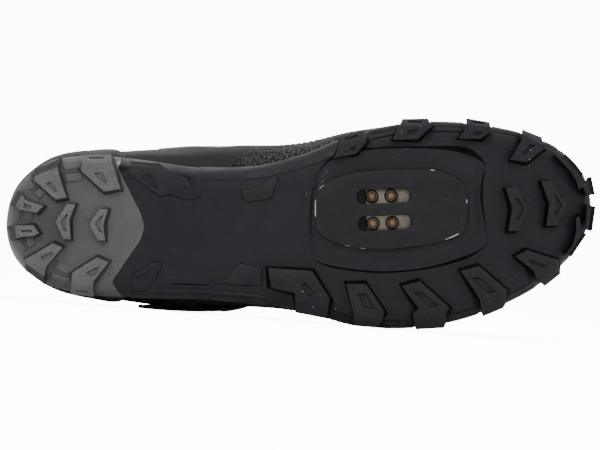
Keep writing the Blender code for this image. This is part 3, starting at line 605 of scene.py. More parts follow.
class Workshop:
    """Makes meshes in the standing shoe's frame and turns them into finished pieces of the object."""

    BODY = "root"
    RIM_AREA = 6 * MM * MM

    def __init__(self, shoe_frame: ShoeFrame, form: Form) -> None:
        """Keeps what the sub-assemblies share.

        Args:
            shoe_frame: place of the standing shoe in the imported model.
            form: surfaces of the sole and the last.
        """
        self.shoe_frame = shoe_frame
        self.form = form

    def sheet(self, point: Callable[[float, float], Vector], along: int, across: int,
              uv: Spot | None = None) -> BMesh:
        """Grid whose corners a function places.

        Args:
            point: place of the corner at two shares from 0 to 1.
            along: number of cells in the first direction.
            across: number of cells in the second direction.
            uv: length and width of its UV map in millimetres, where it has one.

        Returns:
            The bmesh, with coinciding corners merged and its faces outwards.
        """
        shape = bmesh.new()
        bmesh.ops.create_grid(shape, x_segments=along, y_segments=across, size=0.5)
        if uv is not None:
            layer = shape.loops.layers.uv.new("cloth")
            for face in shape.faces:
                for loop in face.loops:
                    spot = loop.vert.co
                    loop[layer].uv = ((spot.x + 0.5) * uv[0], (spot.y + 0.5) * uv[1])
        for corner in shape.verts:
            corner.co = point(corner.co.x + 0.5, corner.co.y + 0.5)
        bmesh.ops.remove_doubles(shape, verts=shape.verts, dist=MERGE)
        bmesh.ops.recalc_face_normals(shape, faces=shape.faces)
        return shape

    def mesh(self, name: str, shape: BMesh) -> Mesh:
        """Mesh from a bmesh, which is freed."""
        made = bpy.data.meshes.new(name)
        shape.to_mesh(made)
        shape.free()
        return made

    def evaluated(self, name: str, mesh: Mesh, **modifiers: dict[str, object]) -> Mesh:
        """Mesh after some modifiers.

        Args:
            name: name of the mesh that is returned.
            mesh: mesh to start from.
            modifiers: settings of each modifier, by its kind in small letters.

        Returns:
            A new mesh with the modifiers applied.
        """
        holder = linked(name, mesh)
        for kind, settings in modifiers.items():
            step = holder.modifiers.new(kind, kind.upper())
            for key, value in settings.items():
                setattr(step, key, value)
        graph = bpy.context.evaluated_depsgraph_get()
        made = bpy.data.meshes.new_from_object(holder.evaluated_get(graph), depsgraph=graph)
        bpy.data.objects.remove(holder, do_unlink=True)
        made.name = name
        return made

    def cut(self, name: str, mesh: Mesh, cutter: Mesh, operation: str = "DIFFERENCE") -> Mesh:
        """Mesh cut by another one, or joined with it.

        Args:
            name: name of the mesh that is returned.
            mesh: mesh to cut.
            cutter: closed mesh that cuts it.
            operation: kind of the Boolean modifier.

        Returns:
            A new mesh.
        """
        knife = linked(name + "_knife", cutter)
        made = self.evaluated(name, mesh, boolean={"operation": operation, "solver": "EXACT",
                                                   "object": knife})
        bpy.data.objects.remove(knife, do_unlink=True)
        return made

    def softened(self, name: str, mesh: Mesh, width: float, segments: int = 2,
                 angle: float = math.radians(28)) -> Mesh:
        """Mesh with its sharp edges rounded."""
        return self.evaluated(name, mesh, bevel={"width": width, "segments": segments,
                                                 "limit_method": "ANGLE", "angle_limit": angle})

    def joined(self, name: str, meshes: Sequence[Mesh]) -> Mesh:
        """One mesh from several; faces of the second and later ones get the next material numbers.

        Args:
            name: name of the mesh.
            meshes: meshes to join, in order.

        Returns:
            The joined mesh.
        """
        shape = bmesh.new()
        start = 0
        for number, mesh in enumerate(meshes):
            shape.from_mesh(mesh)
            shape.faces.ensure_lookup_table()
            for face in shape.faces[start:]:
                face.material_index = number
            start = len(shape.faces)
        return self.mesh(name, shape)

    def shade(self, mesh: Mesh, value: Callable[[Vector], float]) -> None:
        """Point attribute of painted shade that darkens a rubber, from the place in the standing shoe's
        frame.
        """
        layer = mesh.attributes.new("shade", "FLOAT", "POINT")
        layer.data.foreach_set("value", [value(corner.co) for corner in mesh.vertices])

    def scuff_and_highlight(self, mesh: Mesh, numbers: Sequence[int],
              spots: Sequence[tuple[float, float, float, float]]) -> None:
        """Face attribute that pales the narrow rims of a mesh around some places, as painted highlights on
        rounded rims and, on the pad, also pale scratches.

        Args:
            mesh: mesh in the standing shoe's frame.
            numbers: material numbers of the faces that it may touch.
            spots: place in plan and radius in millimetres, and strength, of each place.
        """
        values = []
        for face in mesh.polygons:
            value = 0.0
            rim = 0.2 < abs(face.normal.z) < 0.97 and face.area < self.RIM_AREA
            if rim and face.material_index in numbers:
                for x, y, radius, strength in spots:
                    if (face.center.xy / MM - Vector((x, y))).length < radius:
                        value = max(value, strength)
            values.append(value)
        mesh.attributes.new("scuff_and_highlight", "FLOAT", "FACE").data.foreach_set("value", values)

    def prism(self, name: str, outline: Sequence[Vector], low: float, high: float) -> Mesh:
        """Upright prism on an outline in plan, between two heights.

        Args:
            name: name of the mesh.
            outline: corners in plan.
            low: lower height.
            high: upper height.

        Returns:
            The mesh, with its faces outwards.
        """
        shape = bmesh.new()
        rim = [shape.verts.new((spot.x, spot.y, low)) for spot in outline]
        lifted = extruded(shape, shape.faces.new(rim))
        bmesh.ops.translate(shape, verts=lifted, vec=(0, 0, high - low))
        bmesh.ops.recalc_face_normals(shape, faces=shape.faces)
        return self.mesh(name, shape)

    def piece(self, name: str, form: Mesh | BMesh, materials: Sequence[Material], slot: str,
              replaces: Sequence[str] = (), smooth_angle: float = 40) -> Object:
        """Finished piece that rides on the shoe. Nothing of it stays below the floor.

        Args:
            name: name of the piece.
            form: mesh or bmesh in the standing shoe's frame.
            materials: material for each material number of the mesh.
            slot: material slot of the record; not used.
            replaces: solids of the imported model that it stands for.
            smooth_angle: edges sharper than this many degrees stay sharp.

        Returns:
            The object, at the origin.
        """
        mesh = self.mesh(name, form) if isinstance(form, BMesh) else form
        mesh.transform(self.shoe_frame.matrix)
        for vertex in mesh.vertices:
            vertex.co.z = max(vertex.co.z, 0.0)
        numbers = [face.material_index for face in mesh.polygons]
        mesh.materials.clear()
        for material in materials:
            mesh.materials.append(material)
        mesh.polygons.foreach_set("material_index", numbers)
        mesh.shade_smooth()
        mesh.set_sharp_from_angle(angle=math.radians(smooth_angle))
        thing = linked(name, mesh)
        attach(thing, self.BODY)
        if replaces:
            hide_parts(*replaces)
        log.info("%s: %d faces", name, len(mesh.polygons))
        return thing


def rounded_corners(outline: Sequence[Spot], radius: float, steps: int) -> list[Vector]:
    """Outline in plan with its corners rounded.

    Args:
        outline: corners in order.
        radius: length along each side that the rounding takes.
        steps: number of points on each rounded corner.

    Returns:
        Points in order.
    """
    corners = [Vector(spot) for spot in outline]
    rounded = []
    for index, corner in enumerate(corners):
        before = corners[index - 1] - corner
        after = corners[(index + 1) % len(corners)] - corner
        first = corner + before.normalized() * min(radius, before.length * 0.48)
        last = corner + after.normalized() * min(radius, after.length * 0.48)
        for step in range(steps + 1):
            share = step / steps
            low = first.lerp(corner, share)
            rounded.append(low.lerp(corner.lerp(last, share), share))
    return rounded


def in_metres(outline: Sequence[Spot]) -> list[Vector]:
    """Outline given in millimetres, in metres."""
    return [Vector(spot) * MM for spot in outline]


@dataclass(frozen=True)
class EdgeLug:
    """Lug at the sole's edge, in millimetres in plan: its outer corners, the crease where its
    tread face bends over to the side, its inner corners from front to rear, and its pocket."""

    edge: tuple[Spot, Spot]
    crease: tuple[Spot, Spot]
    inner: tuple[Spot, ...]
    pocket: tuple[Spot, ...] = ()
    drop: float = 3.6
    recess: bool = False


@dataclass(frozen=True)
class InnerLug:
    """Lug away from the edge, in millimetres in plan, with its pocket."""

    outline: tuple[Spot, ...]
    pocket: tuple[Spot, ...] = ()
    slant: Spot = (0.0, 0.0)


@dataclass(frozen=True)
class LowRelief:
    """Low raised or sunk field on the sole's underside, in millimetres in plan."""

    outline: tuple[Spot, ...]
    rise: float
    pocket: tuple[Spot, ...] = ()


@dataclass(frozen=True)
class EdgeBand:
    """Stretch of the sole's rounded edge between lugs, with stations in millimetres of length.

    It is raised between two distances from the edge, measured over its surface, and grooves run
    along it."""

    side: Side
    start: float
    end: float
    near: float
    far: float
    rise: float
    grooves: tuple[float, ...] = ()


HEEL_LUGS = (
    EdgeLug(((38.6, -36.3), (53.9, -36.5)), ((39.0, -31.8), (54.6, -32.4)),
            ((56.6, -25.8), (59.2, -18.6), (50.4, -17.3), (38.4, -28.2)),
            ((44.3, -27.0), (49.6, -27.6), (52.5, -22.0), (50.9, -21.3)), 4.6, True),
    EdgeLug(((14.4, -28.6), (28.6, -34.8)), ((14.8, -25.4), (26.6, -29.8)),
            ((27.6, -24.4), (31.3, -14.2), (25.6, -13.2), (14.4, -23.0)),
            ((20.4, -21.8), (23.2, -23.0), (26.8, -17.4), (24.8, -16.9)), 5.0, True),
    EdgeLug(((1.5, -10.2), (5.6, -18.0)), ((4.8, -10.0), (8.0, -15.4)),
            ((10.2, -12.8), (19.2, -9.9), (15.8, -6.3), (6.6, -8.0)),
            ((9.0, -11.6), (13.6, -9.8), (12.6, -8.2), (8.6, -8.6)), 6.0),
    EdgeLug(((1.9, 8.4), (0.3, 0.8)), ((5.4, 7.0), (4.2, 0.2)),
            ((14.0, 0.2), (16.9, 4.1), (14.4, 5.6), (7.8, 6.2)),
            ((7.4, 2.4), (13.5, 2.4), (13.8, 3.8), (7.6, 3.7)), 6.0),
    EdgeLug(((19.9, 31.0), (9.3, 23.2)), ((19.6, 26.6), (10.0, 19.8)),
            ((10.6, 17.4), (24.0, 9.4), (29.0, 11.7), (20.8, 21.4)),
            ((17.2, 16.6), (24.6, 13.2), (23.8, 16.4), (19.6, 18.4)), 5.4, True),
    EdgeLug(((45.2, 37.1), (33.0, 35.9)), ((44.8, 31.6), (33.6, 30.6)),
            ((34.2, 24.6), (46.6, 16.8), (53.0, 19.1), (45.2, 28.8)),
            ((40.6, 24.8), (48.6, 20.6), (46.8, 25.4), (44.0, 26.6)), 4.6, True),
)

FOREFOOT_LUGS = (
    EdgeLug(((170.8, -44.6), (184.8, -49.2)), ((171.8, -41.0), (185.4, -44.4)),
            ((186.0, -43.0), (180.8, -36.8), (168.8, -34.3)),
            ((177.6, -40.2), (180.4, -40.4), (180.0, -38.4), (177.4, -38.6)), 3.0, True),
    EdgeLug(((204.4, -54.8), (217.8, -55.0)), ((203.0, -51.0), (218.9, -51.4)),
            ((219.0, -50.4), (212.2, -44.2), (199.9, -44.0)),
            ((207.6, -49.4), (213.0, -49.6), (211.0, -46.6), (206.6, -46.6)), 3.0, True),
    EdgeLug(((237.4, -55.2), (249.6, -53.2)), ((237.8, -51.4), (249.8, -50.6)),
            ((250.2, -48.2), (245.0, -44.6), (233.6, -44.6)),
            ((241.4, -48.4), (246.2, -48.2), (244.4, -46.2), (240.8, -46.2)), 3.0, True),
    EdgeLug(((266.4, -49.6), (277.0, -45.4)), ((266.6, -46.6), (277.0, -41.6)),
            ((277.4, -39.0), (268.8, -32.4), (260.0, -33.8), (266.2, -43.8)),
            ((270.6, -42.0), (273.6, -41.4), (267.8, -36.2), (266.2, -37.2)), 3.4),
    EdgeLug(((289.4, -36.8), (299.0, -26.4)), ((288.2, -34.8), (297.4, -25.6)),
            ((300.0, -21.2), (296.0, -18.8), (294.6, -23.4), (291.8, -27.6), (284.8, -35.0)), (), 3.4),
    EdgeLug(((302.9, -25.4), (305.0, -15.6)), ((300.8, -24.2), (302.8, -16.0)),
            ((300.6, -15.2), (298.4, -19.4)), (), 3.0),
    EdgeLug(((305.2, -9.6), (303.4, 3.2)), ((303.0, -9.8), (301.2, 2.4)),
            ((299.8, 2.0), (300.6, -10.6)), (), 3.0),
    EdgeLug(((300.6, 4.6), (292.4, 16.6)), ((298.4, 4.0), (290.6, 15.4)),
            ((288.9, 15.3), (293.0, 10.4), (294.9, 3.4), (294.6, -3.6), (296.4, -4.4)), (), 3.4),
    EdgeLug(((278.4, 31.8), (286.6, 25.4)), ((274.0, 28.0), (284.4, 18.3)),
            ((282.8, 17.4), (269.0, 13.0), (262.8, 16.2), (272.4, 23.6)),
            ((269.6, 17.2), (280.0, 21.0), (278.0, 22.2), (270.4, 20.0))),
    EdgeLug(((246.0, 47.4), (256.8, 43.0)), ((244.4, 38.4), (257.6, 36.6)),
            ((258.2, 33.2), (244.0, 21.2), (234.4, 23.6), (241.0, 33.0)),
            ((239.6, 26.6), (244.6, 26.8), (253.4, 34.8), (248.6, 35.6))),
    EdgeLug(((211.2, 54.0), (226.0, 53.2)), ((209.8, 46.0), (226.4, 46.4)),
            ((228.6, 42.4), (213.4, 29.0), (204.0, 31.4), (212.8, 43.0)),
            ((209.6, 34.4), (214.4, 34.4), (223.6, 41.6), (218.4, 43.0))),
    EdgeLug(((179.6, 52.0), (191.6, 53.0)), ((179.2, 47.6), (193.6, 49.6)),
            ((195.2, 44.8), (185.6, 30.4), (175.4, 30.4), (179.6, 47.0)),
            ((181.0, 35.0), (185.4, 35.0), (190.6, 43.6), (184.6, 43.0))),
    EdgeLug(((149.0, 45.2), (165.4, 48.4)), ((149.0, 36.2), (166.6, 39.4)),
            ((167.0, 38.2), (157.8, 23.8), (135.2, 22.2), (136.6, 32.6), (149.0, 35.0)),
            ((152.2, 29.6), (155.0, 29.6), (161.0, 37.6), (154.6, 36.4))),
)

TOE_CHEVRONS = (
    InnerLug(((257.9, -19.2), (263.2, -19.7), (269.9, -8.8), (264.8, 3.1), (259.2, 3.2), (261.3, -8.7)),
             ((262.4, -14.6), (264.4, -14.4), (267.9, -8.8), (264.6, -1.6), (263.0, -2.0),
              (264.9, -8.7)), (-2.0, 0.6)),
    InnerLug(((276.4, -22.7), (281.5, -22.7), (289.9, -10.4), (285.2, 0.2), (279.0, 0.6), (280.7, -10.9)),
             ((283.0, -16.2), (284.8, -15.0), (287.6, -10.4), (284.8, -4.4), (283.2, -5.6),
              (284.9, -10.6)), (-1.6, 0.4)),
)

HEEL_CHEVRONS = (
    InnerLug(((25.5, -1.8), (31.4, -10.9), (35.8, -10.7), (32.6, -2.6), (33.4, 7.5), (29.5, 7.2)),
             ((27.8, -1.8), (31.4, -6.4), (32.4, -5.2), (30.8, -1.6), (31.4, 3.8), (29.8, 3.2)), (1.4, 0.0)),
    InnerLug(((43.0, -0.5), (48.2, -8.3), (52.6, -8.3), (50.2, -0.3), (51.0, 8.2), (47.4, 8.0)),
             ((45.6, -0.5), (48.6, -4.8), (50.0, -5.4), (48.8, -0.4), (49.8, 4.4), (48.2, 4.0)), (1.6, 0.0)),
)

ARCH_RELIEF = (
    LowRelief(((64.4, -32.8), (79.4, -31.0), (84.2, -27.0), (92.6, -24.6), (99.6, -14.0), (93.0, -13.4),
               (84.6, -16.0), (79.4, -14.8), (64.0, -26.0)), 1.0,
              ((69.4, -25.4), (74.0, -27.0), (78.8, -19.6), (77.4, -18.2))),
    LowRelief(((120.8, -18.7), (123.0, -12.0), (136.4, -13.5), (140.5, -24.7), (137.6, -25.4),
               (133.4, -19.2), (126.0, -18.0)), 0.9),
    LowRelief(((65.0, 33.6), (65.2, 25.4), (76.4, 18.8), (80.6, 19.8), (77.0, 27.4), (72.0, 33.8)), 1.0,
              ((66.4, 26.8), (74.8, 22.4), (72.6, 27.0), (68.6, 28.4))),
    LowRelief(((106.2, 29.8), (107.4, 28.6), (113.4, 28.4), (120.6, 19.9), (131.6, 21.6), (131.8, 31.2),
               (118.4, 31.0)), 0.8),
)

HEEL_BANDS = tuple(EdgeBand(side, start, end, 7.0, 15.6, 0.8, (9.6, 11.0)) for side, start, end in (
    (Side.INNER, 28.4, 39.0), (Side.INNER, 7.4, 14.4), (Side.INNER, 0.2, 1.6), (Side.OUTER, 1.2, 4.6),
    (Side.OUTER, 20.4, 32.8)))

OUTSOLE_BANDS = (
    EdgeBand(Side.INNER, 57.0, 64.0, 6.0, 13.0, 0.6, (8.0, 9.4)),
    EdgeBand(Side.INNER, 86.0, 97.0, 6.0, 11.4, 0.7, (8.4, 9.8)),
    EdgeBand(Side.INNER, 100.0, 172.0, -1.0, 9.0, 0.5),
    EdgeBand(Side.INNER, 187.0, 204.6, -1.0, 12.5, 0.4, (3.2, 4.6, 7.6)),
    EdgeBand(Side.INNER, 219.0, 236.6, -1.0, 12.5, 0.4, (3.2, 4.6, 7.6)),
    EdgeBand(Side.INNER, 251.0, 266.0, -1.0, 12.5, 0.4, (3.2, 4.6)),
    EdgeBand(Side.INNER, 278.0, 285.0, -1.0, 11.0, 0.4, (3.6,)),
    EdgeBand(Side.OUTER, 64.0, 134.0, -1.0, 6.4, 0.5, (4.6,)),
    EdgeBand(Side.OUTER, 84.0, 104.0, 8.0, 13.0, 0.5, (9.6,)),
    EdgeBand(Side.OUTER, 167.6, 178.0, -1.0, 12.5, 0.4, (3.2, 6.0)),
    EdgeBand(Side.OUTER, 194.0, 210.0, -1.0, 12.5, 0.4, (3.2, 6.0)),
    EdgeBand(Side.OUTER, 227.4, 244.0, -1.0, 12.5, 0.4, (3.2, 6.0)),
    EdgeBand(Side.OUTER, 257.6, 274.0, -1.0, 12.5, 0.4, (3.2, 6.0)),
)

HEEL_BOUNDARY = (
    (66.0, -60.0), (63.6, -35.0), (57.2, -30.4), (69.6, -5.6), (71.2, 1.0), (69.4, 7.6), (54.4, 29.4),
    (57.6, 34.8), (62.0, 37.2), (63.4, 60.0),
)

PLATFORM = (
    (155.8, 17.3), (168.6, 21.6), (193.0, 24.3), (215.0, 22.6), (233.0, 17.6), (249.8, 10.8), (247.6, 2.0),
    (244.4, -14.0), (245.6, -26.0), (249.4, -31.6), (232.8, -38.4), (208.0, -40.0), (182.0, -38.6),
    (164.0, -33.0), (157.4, -18.0), (156.0, 0.0),
)


# Painted highlights on the rounded rims of the forefoot lugs: place in plan and radius in millimetres, and
# strength.
LUG_RIM_HIGHLIGHTS = (
    (184.6, -46.6, 2.6, 0.5), (203.6, -52.4, 2.2, 0.5), (201.2, -47.2, 2.6, 0.5), (219.0, -51.0, 1.8, 0.4),
    (258.0, 37.0, 3.4, 0.45), (285.2, 22.0, 5.6, 0.5), (226.6, 50.0, 3.4, 0.35), (298.4, -20.0, 2.6, 0.4),
    (290.4, 15.6, 2.4, 0.4), (136.0, 22.4, 2.0, 0.15), (146.0, 22.8, 8.0, 0.10),
)

PLATFORM_STEEP = 0.965
LUG_STEEP = 0.62

# Painted highlight along the rounded rim of the heel section's boundary: place in plan and radius in
# millimetres, and strength.
HEEL_RIM_HIGHLIGHTS = ((63.0, -18.0, 16.0, 0.30), (70.5, 1.0, 9.0, 0.30), (63.0, 18.0, 13.0, 0.28))


@dataclass
class SolePatterns:
    """Ways of making the raised parts of the tread, in the shapes of the sole's form."""

    workshop: Workshop

    ROOT = 1.2 * MM
    DRAFT = 0.8 * MM
    INNER_LEAN = 3.0
    SIDE_LEAN = 0.5
    SIDE_REACH = 9 * MM
    WALL_TOP = 8.6 * MM
    WALL_SETBACK = 0.04
    POCKET_DEPTH = 1.1 * MM
    POCKET_DRAFT = 0.78
    RECESS_WIDTH = 1.3 * MM
    RECESS_DEPTH = 0.7 * MM
    RECESS_REACH = 0.24
    RECESS_SHIFT = 0.08
    ROUNDING = 0.42 * MM

    @property
    def form(self) -> Form:
        """Surfaces of the sole."""
        return self.workshop.form

    def tread_plane(self, middle: float) -> Callable[[float], float]:
        """Flat tread face of a lug.

        Args:
            middle: place of the lug along the shoe.

        Returns:
            The height of the face at a place along the shoe.
        """
        form = self.form
        length = form.sizes.length
        low = max(middle / length - 0.01, 0)
        high = min(middle / length + 0.01, 1)
        slope = (form.base_height(high) - form.base_height(low)) / ((high - low) * length)
        start = form.base_height(middle / length) - form.sizes.lug_height
        return lambda x: start + slope * (x - middle)

    def pocket(self, shape: BMesh, outline: Sequence[Vector],
               height: Callable[[float], float]) -> None:
        """Adds the cutter of a pocket, a little narrower at its floor.

        Args:
            shape: bmesh of the cutters.
            outline: mouth of the pocket in plan.
            height: height of the face that it is cut into.
        """
        centre = sum(outline, Vector((0, 0))) / len(outline)
        mouth = [shape.verts.new((spot.x, spot.y, height(spot.x) - self.POCKET_DEPTH)) for spot in outline]
        for corner in extruded(shape, shape.faces.new(mouth)):
            plan = centre + (corner.co.xy - centre) * self.POCKET_DRAFT
            corner.co = (plan.x, plan.y, height(plan.x) + self.POCKET_DEPTH)

    def recess(self, shape: BMesh, lug: EdgeLug, height: Callable[[float], float]) -> None:
        """Adds the cutter of a narrow recess along the facet that bends over the edge.

        Args:
            shape: bmesh of the cutters.
            lug: lug with the facet.
            height: height of the lug's tread face.
        """
        lip = [Vector((*spot, height(spot.x) + lug.drop * MM)) for spot in in_metres(lug.edge)]
        bend = [Vector((*spot, height(spot.x))) for spot in in_metres(lug.crease)]
        run = (lip[1] + bend[1] - lip[0] - bend[0]) / 2
        climb = (lip[0] + lip[1] - bend[0] - bend[1]) / 2
        outward = run.cross(climb).normalized()
        if outward.z > 0:
            outward.negate()
        centre = (lip[0] + lip[1] + bend[0] + bend[1]) / 4 + climb * self.RECESS_SHIFT
        half = climb.normalized() * self.RECESS_WIDTH / 2
        corners = [centre + run * self.RECESS_REACH * along + half * across + outward * MM
                   for along, across in ((-1, -1), (1, -1), (1, 1), (-1, 1))]
        sunk = extruded(shape, shape.faces.new([shape.verts.new(corner) for corner in corners]))
        bmesh.ops.translate(shape, verts=sunk, vec=-outward * (MM + self.RECESS_DEPTH))

    def edge_lug(self, shape: BMesh, lug: EdgeLug) -> Callable[[float], float]:
        """Adds an edge lug: tread face, a facet that bends over the edge, and a side on the wall.

        Args:
            shape: bmesh to add it to.
            lug: its outlines.

        Returns:
            The height of its tread face at a place along the shoe.
        """
        edge = in_metres(lug.edge)
        crease = in_metres(lug.crease)
        inner = in_metres(lug.inner)
        outline = [crease[1], *inner, crease[0]]
        centre = sum(outline, Vector((0, 0))) / len(outline)
        height = self.tread_plane(centre.x)
        rim = [shape.verts.new((spot.x, spot.y, height(spot.x))) for spot in outline]
        lip = [shape.verts.new((spot.x, spot.y, height(spot.x) + lug.drop * MM)) for spot in edge]
        tread = shape.faces.new(rim)
        facet = shape.faces.new([lip[0], lip[1], rim[0], rim[-1]])
        middle = (edge[0] + edge[1]) / 2
        for corner in extruded(shape, tread, facet):
            plan = corner.co.xy
            on_edge = min((plan - spot).length for spot in edge) < MERGE
            if on_edge:
                plan = plan.lerp(centre, self.WALL_SETBACK)
                wall = self.form.tread_height(plan.x, plan.y) + MM
                corner.co = (plan.x, plan.y, max(height(plan.x) + self.WALL_TOP, wall))
            else:
                away = (plan - centre).normalized() * self.DRAFT
                lean = self.SIDE_LEAN if (plan - middle).length < self.SIDE_REACH else self.INNER_LEAN
                root = plan + away * lean
                corner.co = (root.x, root.y, height(plan.x) + self.form.sizes.lug_height + self.ROOT)
        return height

    def inner_lug(self, shape: BMesh, lug: InnerLug) -> Callable[[float], float]:
        """Adds a lug away from the edge.

        Args:
            shape: bmesh to add it to.
            lug: its outline.

        Returns:
            The height of its tread face at a place along the shoe.
        """
        outline = in_metres(lug.outline)
        centre = sum(outline, Vector((0, 0))) / len(outline)
        height = self.tread_plane(centre.x)
        rim = [shape.verts.new((spot.x, spot.y, height(spot.x))) for spot in outline]
        for corner in extruded(shape, shape.faces.new(rim)):
            plan = corner.co.xy + (corner.co.xy - centre).normalized() * self.DRAFT
            plan += Vector(lug.slant) * MM
            corner.co = (plan.x, plan.y, height(plan.x) + self.form.sizes.lug_height + self.ROOT)
        return height

    def low_relief(self, shape: BMesh, relief: LowRelief) -> Callable[[float], float]:
        """Adds a low field whose face follows the sole's underside.

        Args:
            shape: bmesh to add it to.
            relief: its outline and rise.

        Returns:
            The height of its face, the same at each place.
        """
        outline = in_metres(relief.outline)
        centre = sum(outline, Vector((0, 0))) / len(outline)
        rim = []
        for spot in outline:
            low = self.form.tread_height(spot.x, spot.y)
            rim.append(shape.verts.new((spot.x, spot.y, low - relief.rise * MM)))
        for corner in extruded(shape, shape.faces.new(rim)):
            plan = corner.co.xy + (corner.co.xy - centre).normalized() * self.DRAFT
            corner.co = (plan.x, plan.y, corner.co.z + relief.rise * MM + self.ROOT)
        middle = self.form.tread_height(centre.x, centre.y) - relief.rise * MM
        return lambda x: middle

    def lugs(self, name: str, edge_lugs: Sequence[EdgeLug], inner_lugs: Sequence[InnerLug],
             reliefs: Sequence[LowRelief]) -> Mesh:
        """Mesh of all raised parts of one section of the sole, with their pockets and soft edges.

        Args:
            name: name of the mesh.
            edge_lugs: lugs at the edge.
            inner_lugs: lugs away from the edge.
            reliefs: low raised fields.

        Returns:
            The joined mesh.
        """
        shape = bmesh.new()
        pockets = bmesh.new()
        for lug in edge_lugs:
            height = self.edge_lug(shape, lug)
            if lug.pocket:
                self.pocket(pockets, in_metres(lug.pocket), height)
            if lug.recess:
                self.recess(pockets, lug, height)
        for lug in inner_lugs:
            height = self.inner_lug(shape, lug)
            self.pocket(pockets, in_metres(lug.pocket), height)
        for relief in reliefs:
            height = self.low_relief(shape, relief)
            if relief.pocket:
                self.pocket(pockets, in_metres(relief.pocket), height)
        for part in (shape, pockets):
            bmesh.ops.recalc_face_normals(part, faces=part.faces)
        workshop = self.workshop
        cut = workshop.cut(name, workshop.mesh(name, shape), workshop.mesh(name + "_pockets", pockets))
        return workshop.softened(name, cut, self.ROUNDING)


class SoleBody:
    """Outsole body without lugs: rounded underside, side wall and the low bands along its edge."""

    STATIONS = 400
    MIDDLE_ROWS = 7
    PROFILE_ROWS = 60
    BAND_SOFT = 0.5
    GROOVE_WIDTH = 0.6
    GROOVE_DEPTH = 0.7

    def __init__(self, workshop: Workshop, bands: Sequence[EdgeBand]) -> None:
        """Works out the profile of the edge and what each station carries.

        Args:
            workshop: makes the meshes.
            bands: raised bands and grooves between the lugs.
        """
        self.workshop = workshop
        self.form = workshop.form
        self.bands = bands
        knots = self.form.SIDE_PROFILE
        thickness = self.form.sizes.outsole_ball / MM
        reaches = [0.0]
        for (inset, share), (next_inset, next_share) in zip(knots, knots[1:]):
            reaches.append(reaches[-1] + math.hypot(next_inset - inset, (next_share - share) * thickness))
        self.whole = reaches[-1]
        self.edge_reach = reaches[-2]
        self.inset = SmoothCurve(reaches, [knot[0] for knot in knots])
        self.share = SmoothCurve(reaches, [knot[1] for knot in knots])
        self.known: dict[tuple[int, float], tuple] = {}

    def station(self, side: int, along: float) -> tuple:
        """Edge point, normal, bands and the place of the middle for a station.

        Args:
            side: side of the shoe.
            along: station as a share of the length.

        Returns:
            Edge point, its normal, middle of the sole, and the bands with masks.
        """
        key = (int(side), along)
        if key not in self.known:
            form = self.form
            edge = form.edge_point(side, along)
            normal = form.edge_normal(side, along)
            other = form.plan_point(-side, along, self.form.SIDE_PROFILE[0][0] * MM)
            ring = edge - normal * self.form.SIDE_PROFILE[0][0] * MM
            x = along * form.sizes.length / MM
            soft = max(0.4, 1.2 * abs(normal.y))
            near = []
            for band in self.bands:
                mask = ramp(x, band.start, band.end, soft)
                if band.side == side and mask > 0:
                    near.append((band, mask))
            self.known[key] = (edge, normal, (ring + other) / 2, near)
        return self.known[key]

    def relief(self, near: Sequence[tuple[EdgeBand, float]], away: float) -> float:
        """Height of the bands over the plain edge, at a distance from the edge over its surface.

        Args:
            near: bands at the station, with their masks.
            away: distance from the edge over the surface.

        Returns:
            The height in metres.
        """
        rise = 0.0
        for band, mask in near:
            rise = max(rise, band.rise * mask * ramp(away, band.near, band.far, self.BAND_SOFT))
        for band, mask in near:
            for groove in band.grooves:
                half = self.GROOVE_WIDTH / 2
                rise -= self.GROOVE_DEPTH * mask * ramp(away, groove - half, groove + half, self.GROOVE_WIDTH)
        return rise * MM

    def mesh(self) -> Mesh:
        """Closed mesh of the body."""
        form = self.form
        length = form.sizes.length
        rows = self.MIDDLE_ROWS + self.PROFILE_ROWS + 2

        def point(share: float, level: float) -> Vector:
            """Place of one corner: rows go from the middle of the underside to the middle of the top."""
            side, along = form.around(share)
            edge, normal, middle, near = self.station(side, along)
            row = round(level * rows)
            if row < self.MIDDLE_ROWS:
                inset = self.inset.values[0] * MM
                plan = middle.lerp(edge - normal * inset, row / self.MIDDLE_ROWS)
                return Vector((plan.x, plan.y, form.base_height(min(max(plan.x / length, 0), 1))))
            if row > self.MIDDLE_ROWS + self.PROFILE_ROWS:
                blend = 0.5 * (row - self.MIDDLE_ROWS - self.PROFILE_ROWS)
                plan = (edge - normal * self.inset.values[-1] * MM).lerp(middle, blend)
                return Vector((plan.x, plan.y, form.outsole_top(min(max(plan.x / length, 0), 1))))
            reach = self.whole * (row - self.MIDDLE_ROWS) / self.PROFILE_ROWS
            step = self.whole / self.PROFILE_ROWS / 2
            inset = self.inset.at(reach) * MM
            plan = edge - normal * inset
            here = min(max(plan.x / length, 0), 1)
            low = form.base_height(here)
            thickness = form.outsole_top(here) - low
            height = low + self.share.at(reach) * thickness
            run = (self.inset.at(reach - step) - self.inset.at(reach + step)) * MM
            climb = (self.share.at(reach + step) - self.share.at(reach - step)) * thickness
            size = math.hypot(run, climb)
            rise = self.relief(near, self.edge_reach - reach)
            outward = climb / size * rise
            down = run / size * rise
            return Vector((plan.x + normal.x * outward, plan.y + normal.y * outward, height - down))

        shape = self.workshop.sheet(point, 2 * self.STATIONS, rows)
        return self.workshop.mesh("sole_body", shape)


